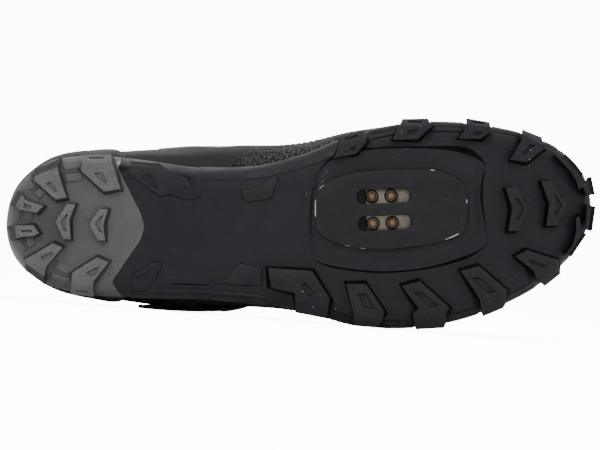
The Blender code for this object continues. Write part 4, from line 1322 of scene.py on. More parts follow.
class Nodes:
    """Short ways to wire shader nodes in one tree."""

    def __init__(self, tree: NodeTree) -> None:
        """Keeps the tree.

        Args:
            tree: tree of a material or of a group.
        """
        self.tree = tree

    def add(self, kind: str, **settings: object) -> Node:
        """New node with some of its settings."""
        node = self.tree.nodes.new(kind)
        for name, value in settings.items():
            setattr(node, name, value)
        return node

    def feed(self, socket: NodeSocket, source: object) -> None:
        """Gives a socket a link, a value or a colour, which gets full alpha."""
        if isinstance(source, NodeSocket):
            self.tree.links.new(source, socket)
        elif socket.type == "RGBA":
            socket.default_value = (*source, 1.0)
        else:
            socket.default_value = source

    def math(self, operation: str, first: object, second: object = 0.0) -> NodeSocket:
        """Result of a Math node."""
        node = self.add("ShaderNodeMath", operation=operation)
        self.feed(node.inputs[0], first)
        self.feed(node.inputs[1], second)
        return node.outputs[0]

    def mix(self, share: object, first: object, second: object) -> NodeSocket:
        """Colour between two colours.

        Args:
            share: share of the second colour.
            first: first colour.
            second: second colour.

        Returns:
            The mixed colour.
        """
        node = self.add("ShaderNodeMix", data_type="RGBA")
        self.feed(node.inputs[0], share)
        self.feed(node.inputs[6], first)
        self.feed(node.inputs[7], second)
        return node.outputs[2]

    def steps(self, value: object, low: float, high: float, out_low: float = 0.0,
              out_high: float = 1.0) -> NodeSocket:
        """Value mapped smoothly from one range to another.

        Args:
            value: value to map.
            low: start of its range.
            high: end of its range.
            out_low: result at the start.
            out_high: result at the end.

        Returns:
            The mapped value.
        """
        node = self.add("ShaderNodeMapRange", interpolation_type="SMOOTHSTEP")
        self.feed(node.inputs["Value"], value)
        node.inputs["From Min"].default_value = low
        node.inputs["From Max"].default_value = high
        node.inputs["To Min"].default_value = out_low
        node.inputs["To Max"].default_value = out_high
        return node.outputs["Result"]

    def noise(self, vector: object, scale: object, detail: float = 2.0, rough: float = 0.5) -> NodeSocket:
        """Value of a noise texture.

        Args:
            vector: coordinates.
            scale: scale of the noise.
            detail: number of octaves.
            rough: strength of the finer octaves.

        Returns:
            The value of the noise.
        """
        node = self.add("ShaderNodeTexNoise")
        self.feed(node.inputs["Vector"], vector)
        self.feed(node.inputs["Scale"], scale)
        node.inputs["Detail"].default_value = detail
        node.inputs["Roughness"].default_value = rough
        return node.outputs["Fac"]

    def cells(self, vector: object, scale: object, feature: str = "F1") -> Node:
        """Voronoi node."""
        node = self.add("ShaderNodeTexVoronoi", feature=feature)
        self.feed(node.inputs["Vector"], vector)
        self.feed(node.inputs["Scale"], scale)
        return node

    def painted(self, name: str) -> NodeSocket:
        """Value of an attribute of the mesh, 0 where the mesh has none."""
        return self.add("ShaderNodeAttribute", attribute_name=name).outputs["Fac"]

    def random(self, cells: Node) -> NodeSocket:
        """Random value of each cell of a Voronoi node."""
        split = self.add("ShaderNodeSeparateColor")
        self.feed(split.inputs[0], cells.outputs["Color"])
        return split.outputs[0]


class EffectGroup(Nodes):
    """Shader node group that makes some values from a vector and some settings."""

    def __init__(self, name: str, **settings: float) -> None:
        """Makes the group with its inputs.

        Args:
            name: name of the group.
            settings: name and value of each input besides the vector.
        """
        super().__init__(bpy.data.node_groups.new(name, "ShaderNodeTree"))
        sockets = self.tree.interface
        sockets.new_socket(name="Vector", in_out="INPUT", socket_type="NodeSocketVector")
        for label, value in settings.items():
            socket = sockets.new_socket(name=label, in_out="INPUT", socket_type="NodeSocketFloat")
            socket.default_value = value
        self.given = self.add("NodeGroupInput").outputs
        self.vector = self.given["Vector"]

    def closed(self, **results: NodeSocket) -> NodeTree:
        """The group's tree, after each result has got its output."""
        for label in results:
            self.tree.interface.new_socket(name=label, in_out="OUTPUT", socket_type="NodeSocketFloat")
        made = self.add("NodeGroupOutput")
        for label, source in results.items():
            self.feed(made.inputs[label], source)
        return self.tree


class Effects:
    """Shader node groups that several finishes share."""

    def __init__(self) -> None:
        """Builds each group once."""
        self.grain = self.make_grain()
        self.dust = self.make_dust()
        self.weave = self.make_weave()

    @staticmethod
    def make_grain() -> NodeTree:
        """Fine moulded or tanned grain: a height and a mottling."""
        nodes = EffectGroup("surface_grain", Scale=1800.0, Cells=0.5)
        scale = nodes.given["Scale"]
        fine = nodes.noise(nodes.vector, scale, 3.0, 0.6)
        cells = nodes.cells(nodes.vector, scale, "SMOOTH_F1")
        cracks = nodes.math("MULTIPLY", cells.outputs["Distance"], nodes.given["Cells"])
        mottling = nodes.noise(nodes.vector, nodes.math("MULTIPLY", scale, 0.06), 4.0, 0.6)
        return nodes.closed(Height=nodes.math("ADD", fine, cracks), Mottling=mottling)

    @staticmethod
    def make_dust() -> NodeTree:
        """Sparse pale specks and faint smears."""
        nodes = EffectGroup("dust_specks", Scale=520.0, Amount=0.5)
        amount = nodes.given["Amount"]
        cells = nodes.cells(nodes.vector, nodes.given["Scale"])
        size = nodes.math("MULTIPLY", nodes.random(cells), 0.14)
        inside = nodes.math("LESS_THAN", cells.outputs["Distance"], size)
        chosen = nodes.math("MULTIPLY", inside, nodes.steps(nodes.noise(nodes.vector, 45.0), 0.57, 0.70))
        smears = nodes.steps(nodes.noise(nodes.vector, 60.0, 6.0, 0.7), 0.50, 0.85)
        return nodes.closed(Specks=nodes.math("MULTIPLY", chosen, amount),
                            Smears=nodes.math("MULTIPLY", smears, amount))

    @staticmethod
    def make_weave() -> NodeTree:
        """Plain weave or knit on a UV map in millimetres."""
        nodes = EffectGroup("thread_weave", Pitch=1.0)
        split = nodes.add("ShaderNodeSeparateXYZ")
        nodes.feed(split.inputs[0], nodes.vector)
        turns = nodes.math("DIVIDE", 2 * math.pi, nodes.given["Pitch"])
        across = nodes.math("SINE", nodes.math("MULTIPLY", split.outputs[0], turns))
        along = nodes.math("SINE", nodes.math("MULTIPLY", split.outputs[1], turns))
        height = nodes.math("MULTIPLY", across, along)
        return nodes.closed(Height=height, Holes=nodes.steps(height, 0.35, 0.8))


Colour = tuple[float, float, float]


class Finish:
    """Starts a material: its Principled shader, its coordinates and its wiring helper."""

    def __init__(self, name: str, effects: Effects, roughness: float, uv: bool = False) -> None:
        """Makes the material.

        Args:
            name: name of the material.
            effects: shared node groups.
            roughness: even roughness, where nothing else drives it.
            uv: whether its pattern follows the piece's UV map, in millimetres.
        """
        self.material = bpy.data.materials.new(name)
        self.material.use_nodes = True
        self.tree = self.material.node_tree
        self.nodes = Nodes(self.tree)
        self.effects = effects
        self.shader = self.tree.nodes["Principled BSDF"]
        self.shader.inputs["Roughness"].default_value = roughness
        coordinates = self.nodes.add("ShaderNodeTexCoord")
        self.vector = coordinates.outputs["Object"]
        self.uv = coordinates.outputs["UV"] if uv else None

    def effect(self, tree: NodeTree, vector: object, **values: float) -> Node:
        """Group node with its values.

        Args:
            tree: node group.
            vector: coordinates.
            values: value of each further input.

        Returns:
            The node.
        """
        node = self.nodes.add("ShaderNodeGroup")
        node.node_tree = tree
        self.nodes.feed(node.inputs["Vector"], vector)
        for name, value in values.items():
            node.inputs[name].default_value = value
        return node

    def bump(self, height: NodeSocket, strength: float, distance: float,
             under: NodeSocket | None = None) -> NodeSocket:
        """Normal from a height.

        Args:
            height: height to follow.
            strength: strength from 0 to 1.
            distance: depth in metres.
            under: normal that it adds to.

        Returns:
            The normal.
        """
        node = self.nodes.add("ShaderNodeBump")
        node.inputs["Strength"].default_value = strength
        node.inputs["Distance"].default_value = distance
        self.nodes.feed(node.inputs["Height"], height)
        if under is not None:
            self.nodes.feed(node.inputs["Normal"], under)
        return node.outputs["Normal"]

    def set(self, name: str, source: object) -> None:
        """Gives a socket of the Principled shader a value or a link."""
        self.nodes.feed(self.shader.inputs[name], source)


@dataclass(frozen=True)
class Rubber:
    """Moulded rubber or plastic: mottled, with fine grain, specks of dust and rubbed smears; on meshes that
    carry them, painted shade and pale rims (painted highlights, and on the pad also scratches).
    """

    name: str
    colour: Colour
    pale: Colour
    roughness: float = 0.55
    grain: float = 1400.0
    grain_depth: float = 0.00006
    dust: float = 0.5
    mottling: float = 0.5
    shine: float = 0.12
    speckle: float = 0.15

    # Pale colour of rims that are painted highlights, and on the pad also scratches.
    WORN = (0.20, 0.20, 0.21)
    SPECK = (0.17, 0.17, 0.18)

    def make(self, effects: Effects) -> Material:
        """The material.

        Args:
            effects: shared node groups.

        Returns:
            The material.
        """
        finish = Finish(self.name, effects, self.roughness)
        nodes = finish.nodes
        grain = finish.effect(effects.grain, finish.vector, Scale=self.grain, Cells=0.35)
        dust = finish.effect(effects.dust, finish.vector, Amount=self.dust)
        patches = nodes.steps(grain.outputs["Mottling"], 0.35, 0.68, 0.0, self.mottling)
        fine = nodes.steps(grain.outputs["Height"], 0.54, 0.84, 0.0, self.speckle)
        base = nodes.mix(patches, self.colour, self.pale)
        bright = tuple(value * 1.5 for value in self.pale)
        base = nodes.mix(fine, base, bright)
        smeared = nodes.mix(nodes.math("MULTIPLY", dust.outputs["Smears"], 0.35), base, self.pale)
        shadow = tuple(value * 0.4 for value in self.colour)
        shaded = nodes.mix(nodes.painted("shade"), smeared, shadow)
        # Pale rims: painted highlights, and on the pad also scratches.
        scuffed_and_lit = nodes.mix(nodes.painted("scuff_and_highlight"), shaded, self.WORN)
        finish.set("Base Color", nodes.mix(dust.outputs["Specks"], scuffed_and_lit, self.SPECK))
        finish.set("Roughness", nodes.steps(grain.outputs["Mottling"], 0.3, 0.7,
                                            self.roughness - 0.08, self.roughness + 0.10))
        finish.set("Specular IOR Level", self.shine)
        finish.set("Normal", finish.bump(grain.outputs["Height"], 0.5, self.grain_depth))
        return finish.material


@dataclass(frozen=True)
class Leather:
    """Smooth synthetic leather with fine grain and a soft gloss."""

    name: str
    colour: Colour
    pale: Colour
    roughness: float = 0.55
    grain: float = 1500.0
    coat: float = 0.0
    depth: float = 0.00010
    shine: float = 0.14

    def make(self, effects: Effects) -> Material:
        """The material.

        Args:
            effects: shared node groups.

        Returns:
            The material.
        """
        finish = Finish(self.name, effects, self.roughness)
        nodes = finish.nodes
        grain = finish.effect(effects.grain, finish.vector, Scale=self.grain, Cells=0.9)
        dust = finish.effect(effects.dust, finish.vector, Amount=0.2)
        patches = nodes.steps(grain.outputs["Mottling"], 0.35, 0.7)
        base = nodes.mix(patches, self.colour, self.pale)
        finish.set("Base Color", nodes.mix(nodes.math("MULTIPLY", dust.outputs["Smears"], 0.4), base,
                                           self.pale))
        finish.set("Roughness", nodes.steps(grain.outputs["Mottling"], 0.3, 0.7,
                                            self.roughness - 0.07, self.roughness + 0.09))
        finish.set("Coat Weight", self.coat)
        finish.set("Coat Roughness", 0.4)
        finish.set("Specular IOR Level", self.shine)
        finish.set("Normal", finish.bump(grain.outputs["Height"], 0.45, self.depth))
        return finish.material


@dataclass(frozen=True)
class Cloth:
    """Woven or knitted cloth on a UV map in millimetres, with dark holes and sheen."""

    name: str
    colour: Colour
    thread: Colour
    pitch: float = 1.1
    depth: float = 0.0001
    sheen: float = 0.25
    speckle: float = 0.8
    grain: float = 1700.0

    def make(self, effects: Effects) -> Material:
        """The material.

        Args:
            effects: shared node groups.

        Returns:
            The material.
        """
        finish = Finish(self.name, effects, 0.88, uv=True)
        nodes = finish.nodes
        weave = finish.effect(effects.weave, finish.uv, Pitch=self.pitch)
        grain = finish.effect(effects.grain, finish.vector, Scale=self.grain, Cells=0.4)
        speckle = nodes.steps(grain.outputs["Height"], 0.60, 0.78, 0.0, self.speckle)
        threads = nodes.steps(weave.outputs["Height"], -0.9, 0.4, 0.15, 1.0)
        base = nodes.mix(nodes.math("MULTIPLY", threads, speckle), self.colour, self.thread)
        dark = tuple(value * 0.25 for value in self.colour)
        finish.set("Base Color", nodes.mix(nodes.math("MULTIPLY", weave.outputs["Holes"], 0.75), base,
                                           dark))
        finish.set("Specular IOR Level", 0.15)
        finish.set("Sheen Weight", self.sheen)
        finish.set("Sheen Roughness", 0.5)
        relief = finish.bump(weave.outputs["Height"], 0.8, self.depth)
        finish.set("Normal", finish.bump(grain.outputs["Height"], 0.4, 0.0001, relief))
        return finish.material


@dataclass(frozen=True)
class Metal:
    """Metal with brushing, stains and worn roughness."""

    name: str
    colour: Colour
    stain: Colour
    roughness: float = 0.34
    metallic: float = 1.0

    def make(self, effects: Effects) -> Material:
        """The material.

        Args:
            effects: shared node groups.

        Returns:
            The material.
        """
        finish = Finish(self.name, effects, self.roughness)
        nodes = finish.nodes
        stretch = nodes.add("ShaderNodeMapping")
        nodes.feed(stretch.inputs["Vector"], finish.vector)
        stretch.inputs["Scale"].default_value = (120.0, 4000.0, 4000.0)
        brushing = nodes.noise(stretch.outputs[0], 1.0, 3.0)
        grain = finish.effect(effects.grain, finish.vector, Scale=2600.0, Cells=0.2)
        stains = nodes.steps(grain.outputs["Mottling"], 0.42, 0.68)
        finish.set("Base Color", nodes.mix(stains, self.colour, self.stain))
        finish.set("Metallic", self.metallic)
        finish.set("Roughness", nodes.steps(brushing, 0.2, 0.8, self.roughness - 0.1, self.roughness + 0.15))
        finish.set("Normal", finish.bump(brushing, 0.25, 0.00004))
        return finish.material


@dataclass(frozen=True)
class Paint:
    """Plain pale studio surface, which the camera sees brighter than it lights the shoe."""

    name: str
    colour: Colour
    glow: float = 11.0

    def make(self, effects: Effects) -> Material:
        """The material.

        Args:
            effects: shared node groups.

        Returns:
            The material.
        """
        finish = Finish(self.name, effects, 0.9)
        cloud = finish.nodes.noise(finish.vector, 3.0)
        pale = tuple(value * 0.99 for value in self.colour)
        finish.set("Base Color", finish.nodes.mix(cloud, self.colour, pale))
        seen = finish.nodes.add("ShaderNodeLightPath").outputs["Is Camera Ray"]
        finish.set("Emission Color", self.colour)
        finish.set("Emission Strength", finish.nodes.math("MULTIPLY", seen, self.glow))
        return finish.material


class Palette:
    """All finishes of the shoe."""

    def __init__(self, effects: Effects) -> None:
        """Makes the materials.

        Args:
            effects: shared node groups.
        """
        self.sole = Rubber("black_sole_rubber", (0.0013, 0.0012, 0.0023), (0.0026, 0.0025, 0.0045),
                           0.52, dust=0.9, shine=0.10).make(effects)
        self.sole_lugs = Rubber("black_lug_rubber", (0.0013, 0.0013, 0.0020), (0.0033, 0.0033, 0.0046),
                                0.62, grain=1500.0, grain_depth=0.00020, dust=1.0, mottling=0.7,
                                shine=0.10, speckle=0.75).make(effects)
        # Darker copy of the lug rubber: painted shade on the steep lug sides and the platform's wall.
        self.sole_side_shade = Rubber("black_lug_painted_shade", (0.0005, 0.0005, 0.0006), (0.0009, 0.0009, 0.0011),
                                 0.80, dust=0.1, shine=0.03).make(effects)
        self.heel = Rubber("grey_heel_rubber", (0.021, 0.021, 0.022), (0.031, 0.031, 0.033), 0.55,
                           dust=0.2).make(effects)
        self.heel_lugs = Rubber("grey_lug_rubber", (0.022, 0.022, 0.023), (0.037, 0.037, 0.039), 0.70,
                                grain=1500.0, grain_depth=0.00014, dust=0.1, mottling=0.5,
                                speckle=0.5).make(effects)
        # Darker copy of the grey lug rubber: painted shade on the steep sides of the heel lugs.
        self.heel_sides = Rubber("grey_lug_painted_shade", (0.0090, 0.0090, 0.0098), (0.0130, 0.0130, 0.0140),
                                 0.75, dust=0.1, shine=0.08).make(effects)
        self.pad = Rubber("black_pad_plastic", (0.0013, 0.0013, 0.0019), (0.0020, 0.0019, 0.0030), 0.48,
                          grain=2200.0, grain_depth=0.00003, dust=0.4, shine=0.10).make(effects)
        self.midsole = Rubber("midsole_rubber", (0.0019, 0.0018, 0.0020), (0.0033, 0.0031, 0.0034), 0.62,
                              dust=0.3).make(effects)
        # Near-black rubber for the discs that paint the shadow in the gaps around the bushes.
        self.socket = Rubber("socket_shadow", (0.0004, 0.0004, 0.0004), (0.0005, 0.0005, 0.0005), 0.8,
                             dust=0.0, shine=0.02, speckle=0.0).make(effects)
        self.leather = Leather("brown_black_leather", (0.0038, 0.0028, 0.0033),
                               (0.0056, 0.0043, 0.0050), 0.66, shine=0.10).make(effects)
        self.trim = Leather("trim_leather", (0.0023, 0.0023, 0.0025), (0.0040, 0.0040, 0.0044),
                            0.50).make(effects)
        self.cord = Leather("piping_grey", (0.110, 0.110, 0.114), (0.160, 0.160, 0.166), 0.6).make(effects)
        self.counter = Leather("grey_counter_leather", (0.0070, 0.0070, 0.0075), (0.025, 0.025, 0.027),
                               0.72, grain=1100.0, depth=0.0005, shine=0.10).make(effects)
        self.mesh = Cloth("side_mesh", (0.0012, 0.0012, 0.0013), (0.052, 0.049, 0.047), sheen=0.0,
                          grain=1150.0).make(effects)
        self.lining = Cloth("lining_mesh", (0.0040, 0.0040, 0.0044), (0.012, 0.012, 0.013), pitch=1.6,
                            speckle=0.4, sheen=0.03).make(effects)
        self.tongue = Cloth("tongue_mesh", (0.0031, 0.0031, 0.0035), (0.015, 0.015, 0.015), pitch=1.4,
                            speckle=0.5, sheen=0.03).make(effects)
        self.insole = Cloth("insole_cloth", (0.011, 0.011, 0.012), (0.027, 0.027, 0.029), pitch=0.8,
                            depth=0.0001, sheen=0.05).make(effects)
        self.strap = Cloth("strap_webbing", (0.0052, 0.0052, 0.0058), (0.0150, 0.0150, 0.0160), pitch=0.9,
                           depth=0.00015, speckle=0.5, sheen=0.02).make(effects)
        self.thread = Leather("sewing_thread", (0.014, 0.014, 0.015), (0.024, 0.024, 0.026),
                              0.7).make(effects)
        self.plate = Metal("plate_steel", (0.064, 0.057, 0.046), (0.030, 0.027, 0.022), 0.50).make(effects)
        self.ring = Metal("bush_ring_steel", (0.070, 0.064, 0.055), (0.036, 0.033, 0.028),
                          0.45).make(effects)
        self.brass = Metal("bush_brass", (0.066, 0.042, 0.025), (0.046, 0.028, 0.017), 0.50).make(effects)
        self.floor = Paint("studio_floor", (0.93, 0.93, 0.93)).make(effects)


@dataclass
class SubAssembly:
    """Pieces of the shoe that are built together."""

    workshop: Workshop
    palette: Palette

    @property
    def form(self) -> Form:
        """Surfaces of the sole and the last."""
        return self.workshop.form


@dataclass
class Outsole(SubAssembly):
    """Black outsole with its lugs, and the grey heel section."""

    boundary_gap: float = 0.3 * MM
    platform_rise: float = 1.2 * MM
    platform_corner: float = 9 * MM
    wall_lean: float = 0.036
    platform_ends: tuple[float, float, float] = (163.0, 243.0, 18.0)
    platform_front: tuple[float, float, float] = (222.0, 260.0, 20.0)
    shade_strength: float = 0.55

    def boundary_cutter(self, name: str, gap: float) -> Mesh:
        """Upright prism over everything behind the chevron boundary.

        Args:
            name: name of the mesh.
            gap: distance in front of the boundary.

        Returns:
            The mesh of the prism.
        """
        corners = rounded_corners(HEEL_BOUNDARY[1:-1], 1.6, 3)
        outline = [Vector(HEEL_BOUNDARY[0]), *corners[4:-4], Vector(HEEL_BOUNDARY[-1])]
        outline = [spot * MM + Vector((gap, 0)) for spot in outline]
        outline += [Vector((-60, 60)) * MM, Vector((-60, -60)) * MM]
        return self.workshop.prism(name, outline, -20 * MM, 60 * MM)

    @staticmethod
    def reach(outline: Sequence[Vector], centre: Vector, angle: float) -> float:
        """Distance from a centre to an outline in one direction.

        Args:
            outline: closed outline in plan.
            centre: place to measure from.
            angle: direction to measure in.

        Returns:
            The distance to its farthest crossing, 0 where there is none.
        """
        way = Vector((math.cos(angle), math.sin(angle)))
        farthest = 0.0
        for first, last in zip(outline, [*outline[1:], outline[0]]):
            side = last - first
            turn = way.x * side.y - way.y * side.x
            if abs(turn) < 1e-12:
                continue
            gap = first - centre
            distance = (gap.x * side.y - gap.y * side.x) / turn
            share = (gap.x * way.y - gap.y * way.x) / turn
            if distance > 0 and -1e-6 <= share <= 1 + 1e-6:
                farthest = max(farthest, distance)
        return farthest

    def field(self) -> tuple[list[Vector], list[Vector], Vector]:
        """Outlines of the raised field and of the pad on it, and their middle."""
        outline = rounded_corners(in_metres(PLATFORM), self.platform_corner, 5)
        seat = rounded_corners(in_metres(PAD_OUTLINE), PAD_ROUNDING, 5)
        return outline, seat, sum(seat, Vector((0, 0))) / len(seat)

    def platform(self) -> Mesh:
        """Low raised field around the cleat pad, flush with the sole at its two ends."""
        form = self.form
        length = form.sizes.length
        flat = form.sizes.lug_height - self.platform_rise
        outline, seat, centre = self.field()
        stations = 180
        reaches = []
        for step in range(stations):
            angle = 2 * math.pi * step / stations
            reaches.append((self.reach(seat, centre, angle), self.reach(outline, centre, angle)))

        def point(share: float, level: float) -> Vector:
            """Place of one corner: rows go from the centre out over the field, and back inside."""
            step = round(share * stations) % stations
            angle = 2 * math.pi * step / stations
            inner, outer = reaches[step]
            row = round(level * 16)
            blend = min(max((row - 4) / 9, 0), 1)
            distance = inner * min(row, 3) / 3 + MM * min(max(row - 3, 0), 1)
            distance += (outer - inner - MM) * blend
            if row == 16:
                distance = 0.0
            plan = centre + Vector((math.cos(angle), math.sin(angle))) * distance
            here = plan.x / length
            ends = ramp(plan.x / MM, *self.platform_ends)
            open_face = form.base_height(here) - self.platform_rise * ends - 0.1 * MM
            smooth = blend * blend * (3 - 2 * blend)
            height = flat + (open_face - flat) * smooth
            if row in (14, 15):
                front = ramp(plan.x / MM, *self.platform_front) * (1 if plan.y < 0 else 0.3)
                lean = self.wall_lean * (1 + 1.6 * front) * ends
                plan = centre + (plan - centre) * (1 + lean)
                height = form.base_height(here) + 0.3 * MM
            if row == 16:
                height = form.base_height(here) + MM
            return Vector((plan.x, plan.y, height))

        return self.workshop.mesh("platform", self.workshop.sheet(point, stations, 16))

    def dark_wall(self, mesh: Mesh, field: int, sides: int) -> None:
        """Paints shade on the wall of the platform with the darker rubber of the lugs' sides.

        Args:
            mesh: mesh of the outsole.
            field: material number of the platform.
            sides: material number of the darker rubber that paints shade on the lugs' sides.
        """
        outline, _, centre = self.field()
        for face in mesh.polygons:
            if face.material_index == field and abs(face.normal.z) < PLATFORM_STEEP:
                away = face.center.xy - centre
                rim = self.reach(outline, centre, math.atan2(away.y, away.x))
                if away.length > rim * 1.001:
                    face.material_index = sides

    def build(self) -> None:
        """Builds both sections."""
        workshop = self.workshop
        patterns = SolePatterns(workshop)
        body = SoleBody(workshop, OUTSOLE_BANDS).mesh()
        front = workshop.cut("outsole_body", body, self.boundary_cutter("behind_gap", self.boundary_gap))
        front = CleatFitting.windowed(workshop, front)
        field = CleatFitting.windowed(workshop, self.platform())
        raised = patterns.lugs("outsole_lugs", FOREFOOT_LUGS, TOE_CHEVRONS, ())
        relief = patterns.lugs("outsole_relief", (), (), ARCH_RELIEF)
        merged = workshop.joined("outsole_rubber", (front, raised, relief, field))
        materials = (self.palette.sole, self.palette.sole_lugs, self.palette.sole, self.palette.sole,
                     self.palette.sole_side_shade)
        # Steep lug sides and the platform's wall get the darker rubber as painted shade, and the lugs' rims
        # around listed places get painted highlights.
        self.shaded_sides(merged, 1, 4)
        self.shaded_sides(merged, 2, 4)
        self.dark_wall(merged, 3, 4)
        workshop.scuff_and_highlight(merged, (1, 4), LUG_RIM_HIGHLIGHTS)
        workshop.piece("outsole_rubber", merged, materials, "black_rubber", ("outsole",))
        body = SoleBody(workshop, HEEL_BANDS).mesh()
        rear = workshop.cut("heel_body", body, self.boundary_cutter("behind", 0), "INTERSECT")
        rear = workshop.softened("heel_body", rear, 0.45 * MM, 2, math.radians(55))
        raised = patterns.lugs("heel_lugs", HEEL_LUGS, HEEL_CHEVRONS, ())
        merged = workshop.joined("heel_rubber", (rear, raised))
        # Steep heel lug sides get the darker grey rubber as painted shade, the heel's middle gets painted
        # shade, and its boundary rim a painted highlight.
        self.shaded_sides(merged, 1, 2)
        workshop.shade(merged, self.heel_shade)
        workshop.scuff_and_highlight(merged, (0,), HEEL_RIM_HIGHLIGHTS)
        materials = (self.palette.heel, self.palette.heel_lugs, self.palette.heel_sides)
        workshop.piece("heel_rubber", merged, materials, "grey_rubber", ("heel_tread",))

    def heel_shade(self, spot: Vector) -> float:
        """Painted shade on the heel section: darker in its middle and rear, between the lugs."""
        x = spot.x / MM
        y = spot.y / MM
        lengthways = ramp(x, 12.0, 34.0, 30.0)
        return self.shade_strength * lengthways * ramp(y, -10.0, 12.0, 16.0) * (1 if spot.z > 1.5 * MM else 0)

    @staticmethod
    def shaded_sides(mesh: Mesh, lugs: int, sides: int) -> None:
        """Gives the steep sides of the lugs the material number of a darker rubber, which paints their shade.
        """
        for face in mesh.polygons:
            if face.material_index == lugs and abs(face.normal.z) < LUG_STEEP:
                face.material_index = sides


PAD_ROUNDING = 5 * MM

PAD_OUTLINE = (
    (159.3, -16.1), (163.6, -21.4), (178.4, -27.2), (198.0, -28.6), (222.0, -28.8), (234.0, -23.6),
    (237.2, -18.6), (238.3, -8.4), (237.4, 1.6), (233.6, 5.0), (222.0, 9.6), (199.0, 12.6), (182.0, 12.4),
    (170.0, 9.6), (161.4, 4.6), (159.3, 0.6),
)


# Pale scratches and painted highlights on the pad's rounded rim: place in plan and radius in millimetres, and
# strength.
PAD_SCRATCHES_AND_HIGHLIGHTS = (
    (159.3, -11.6, 1.6, 0.55), (159.3, -8.4, 2.2, 0.8), (162.2, -20.0, 1.2, 0.4), (227.4, 7.4, 0.9, 0.5),
    (230.4, 6.2, 1.6, 1.0), (233.0, 5.2, 1.3, 0.9), (219.4, -28.8, 1.0, 0.6), (237.8, -12.4, 0.8, 0.7),
    (184.0, 12.4, 1.2, 0.35), (176.0, 11.4, 1.6, 0.25),
)


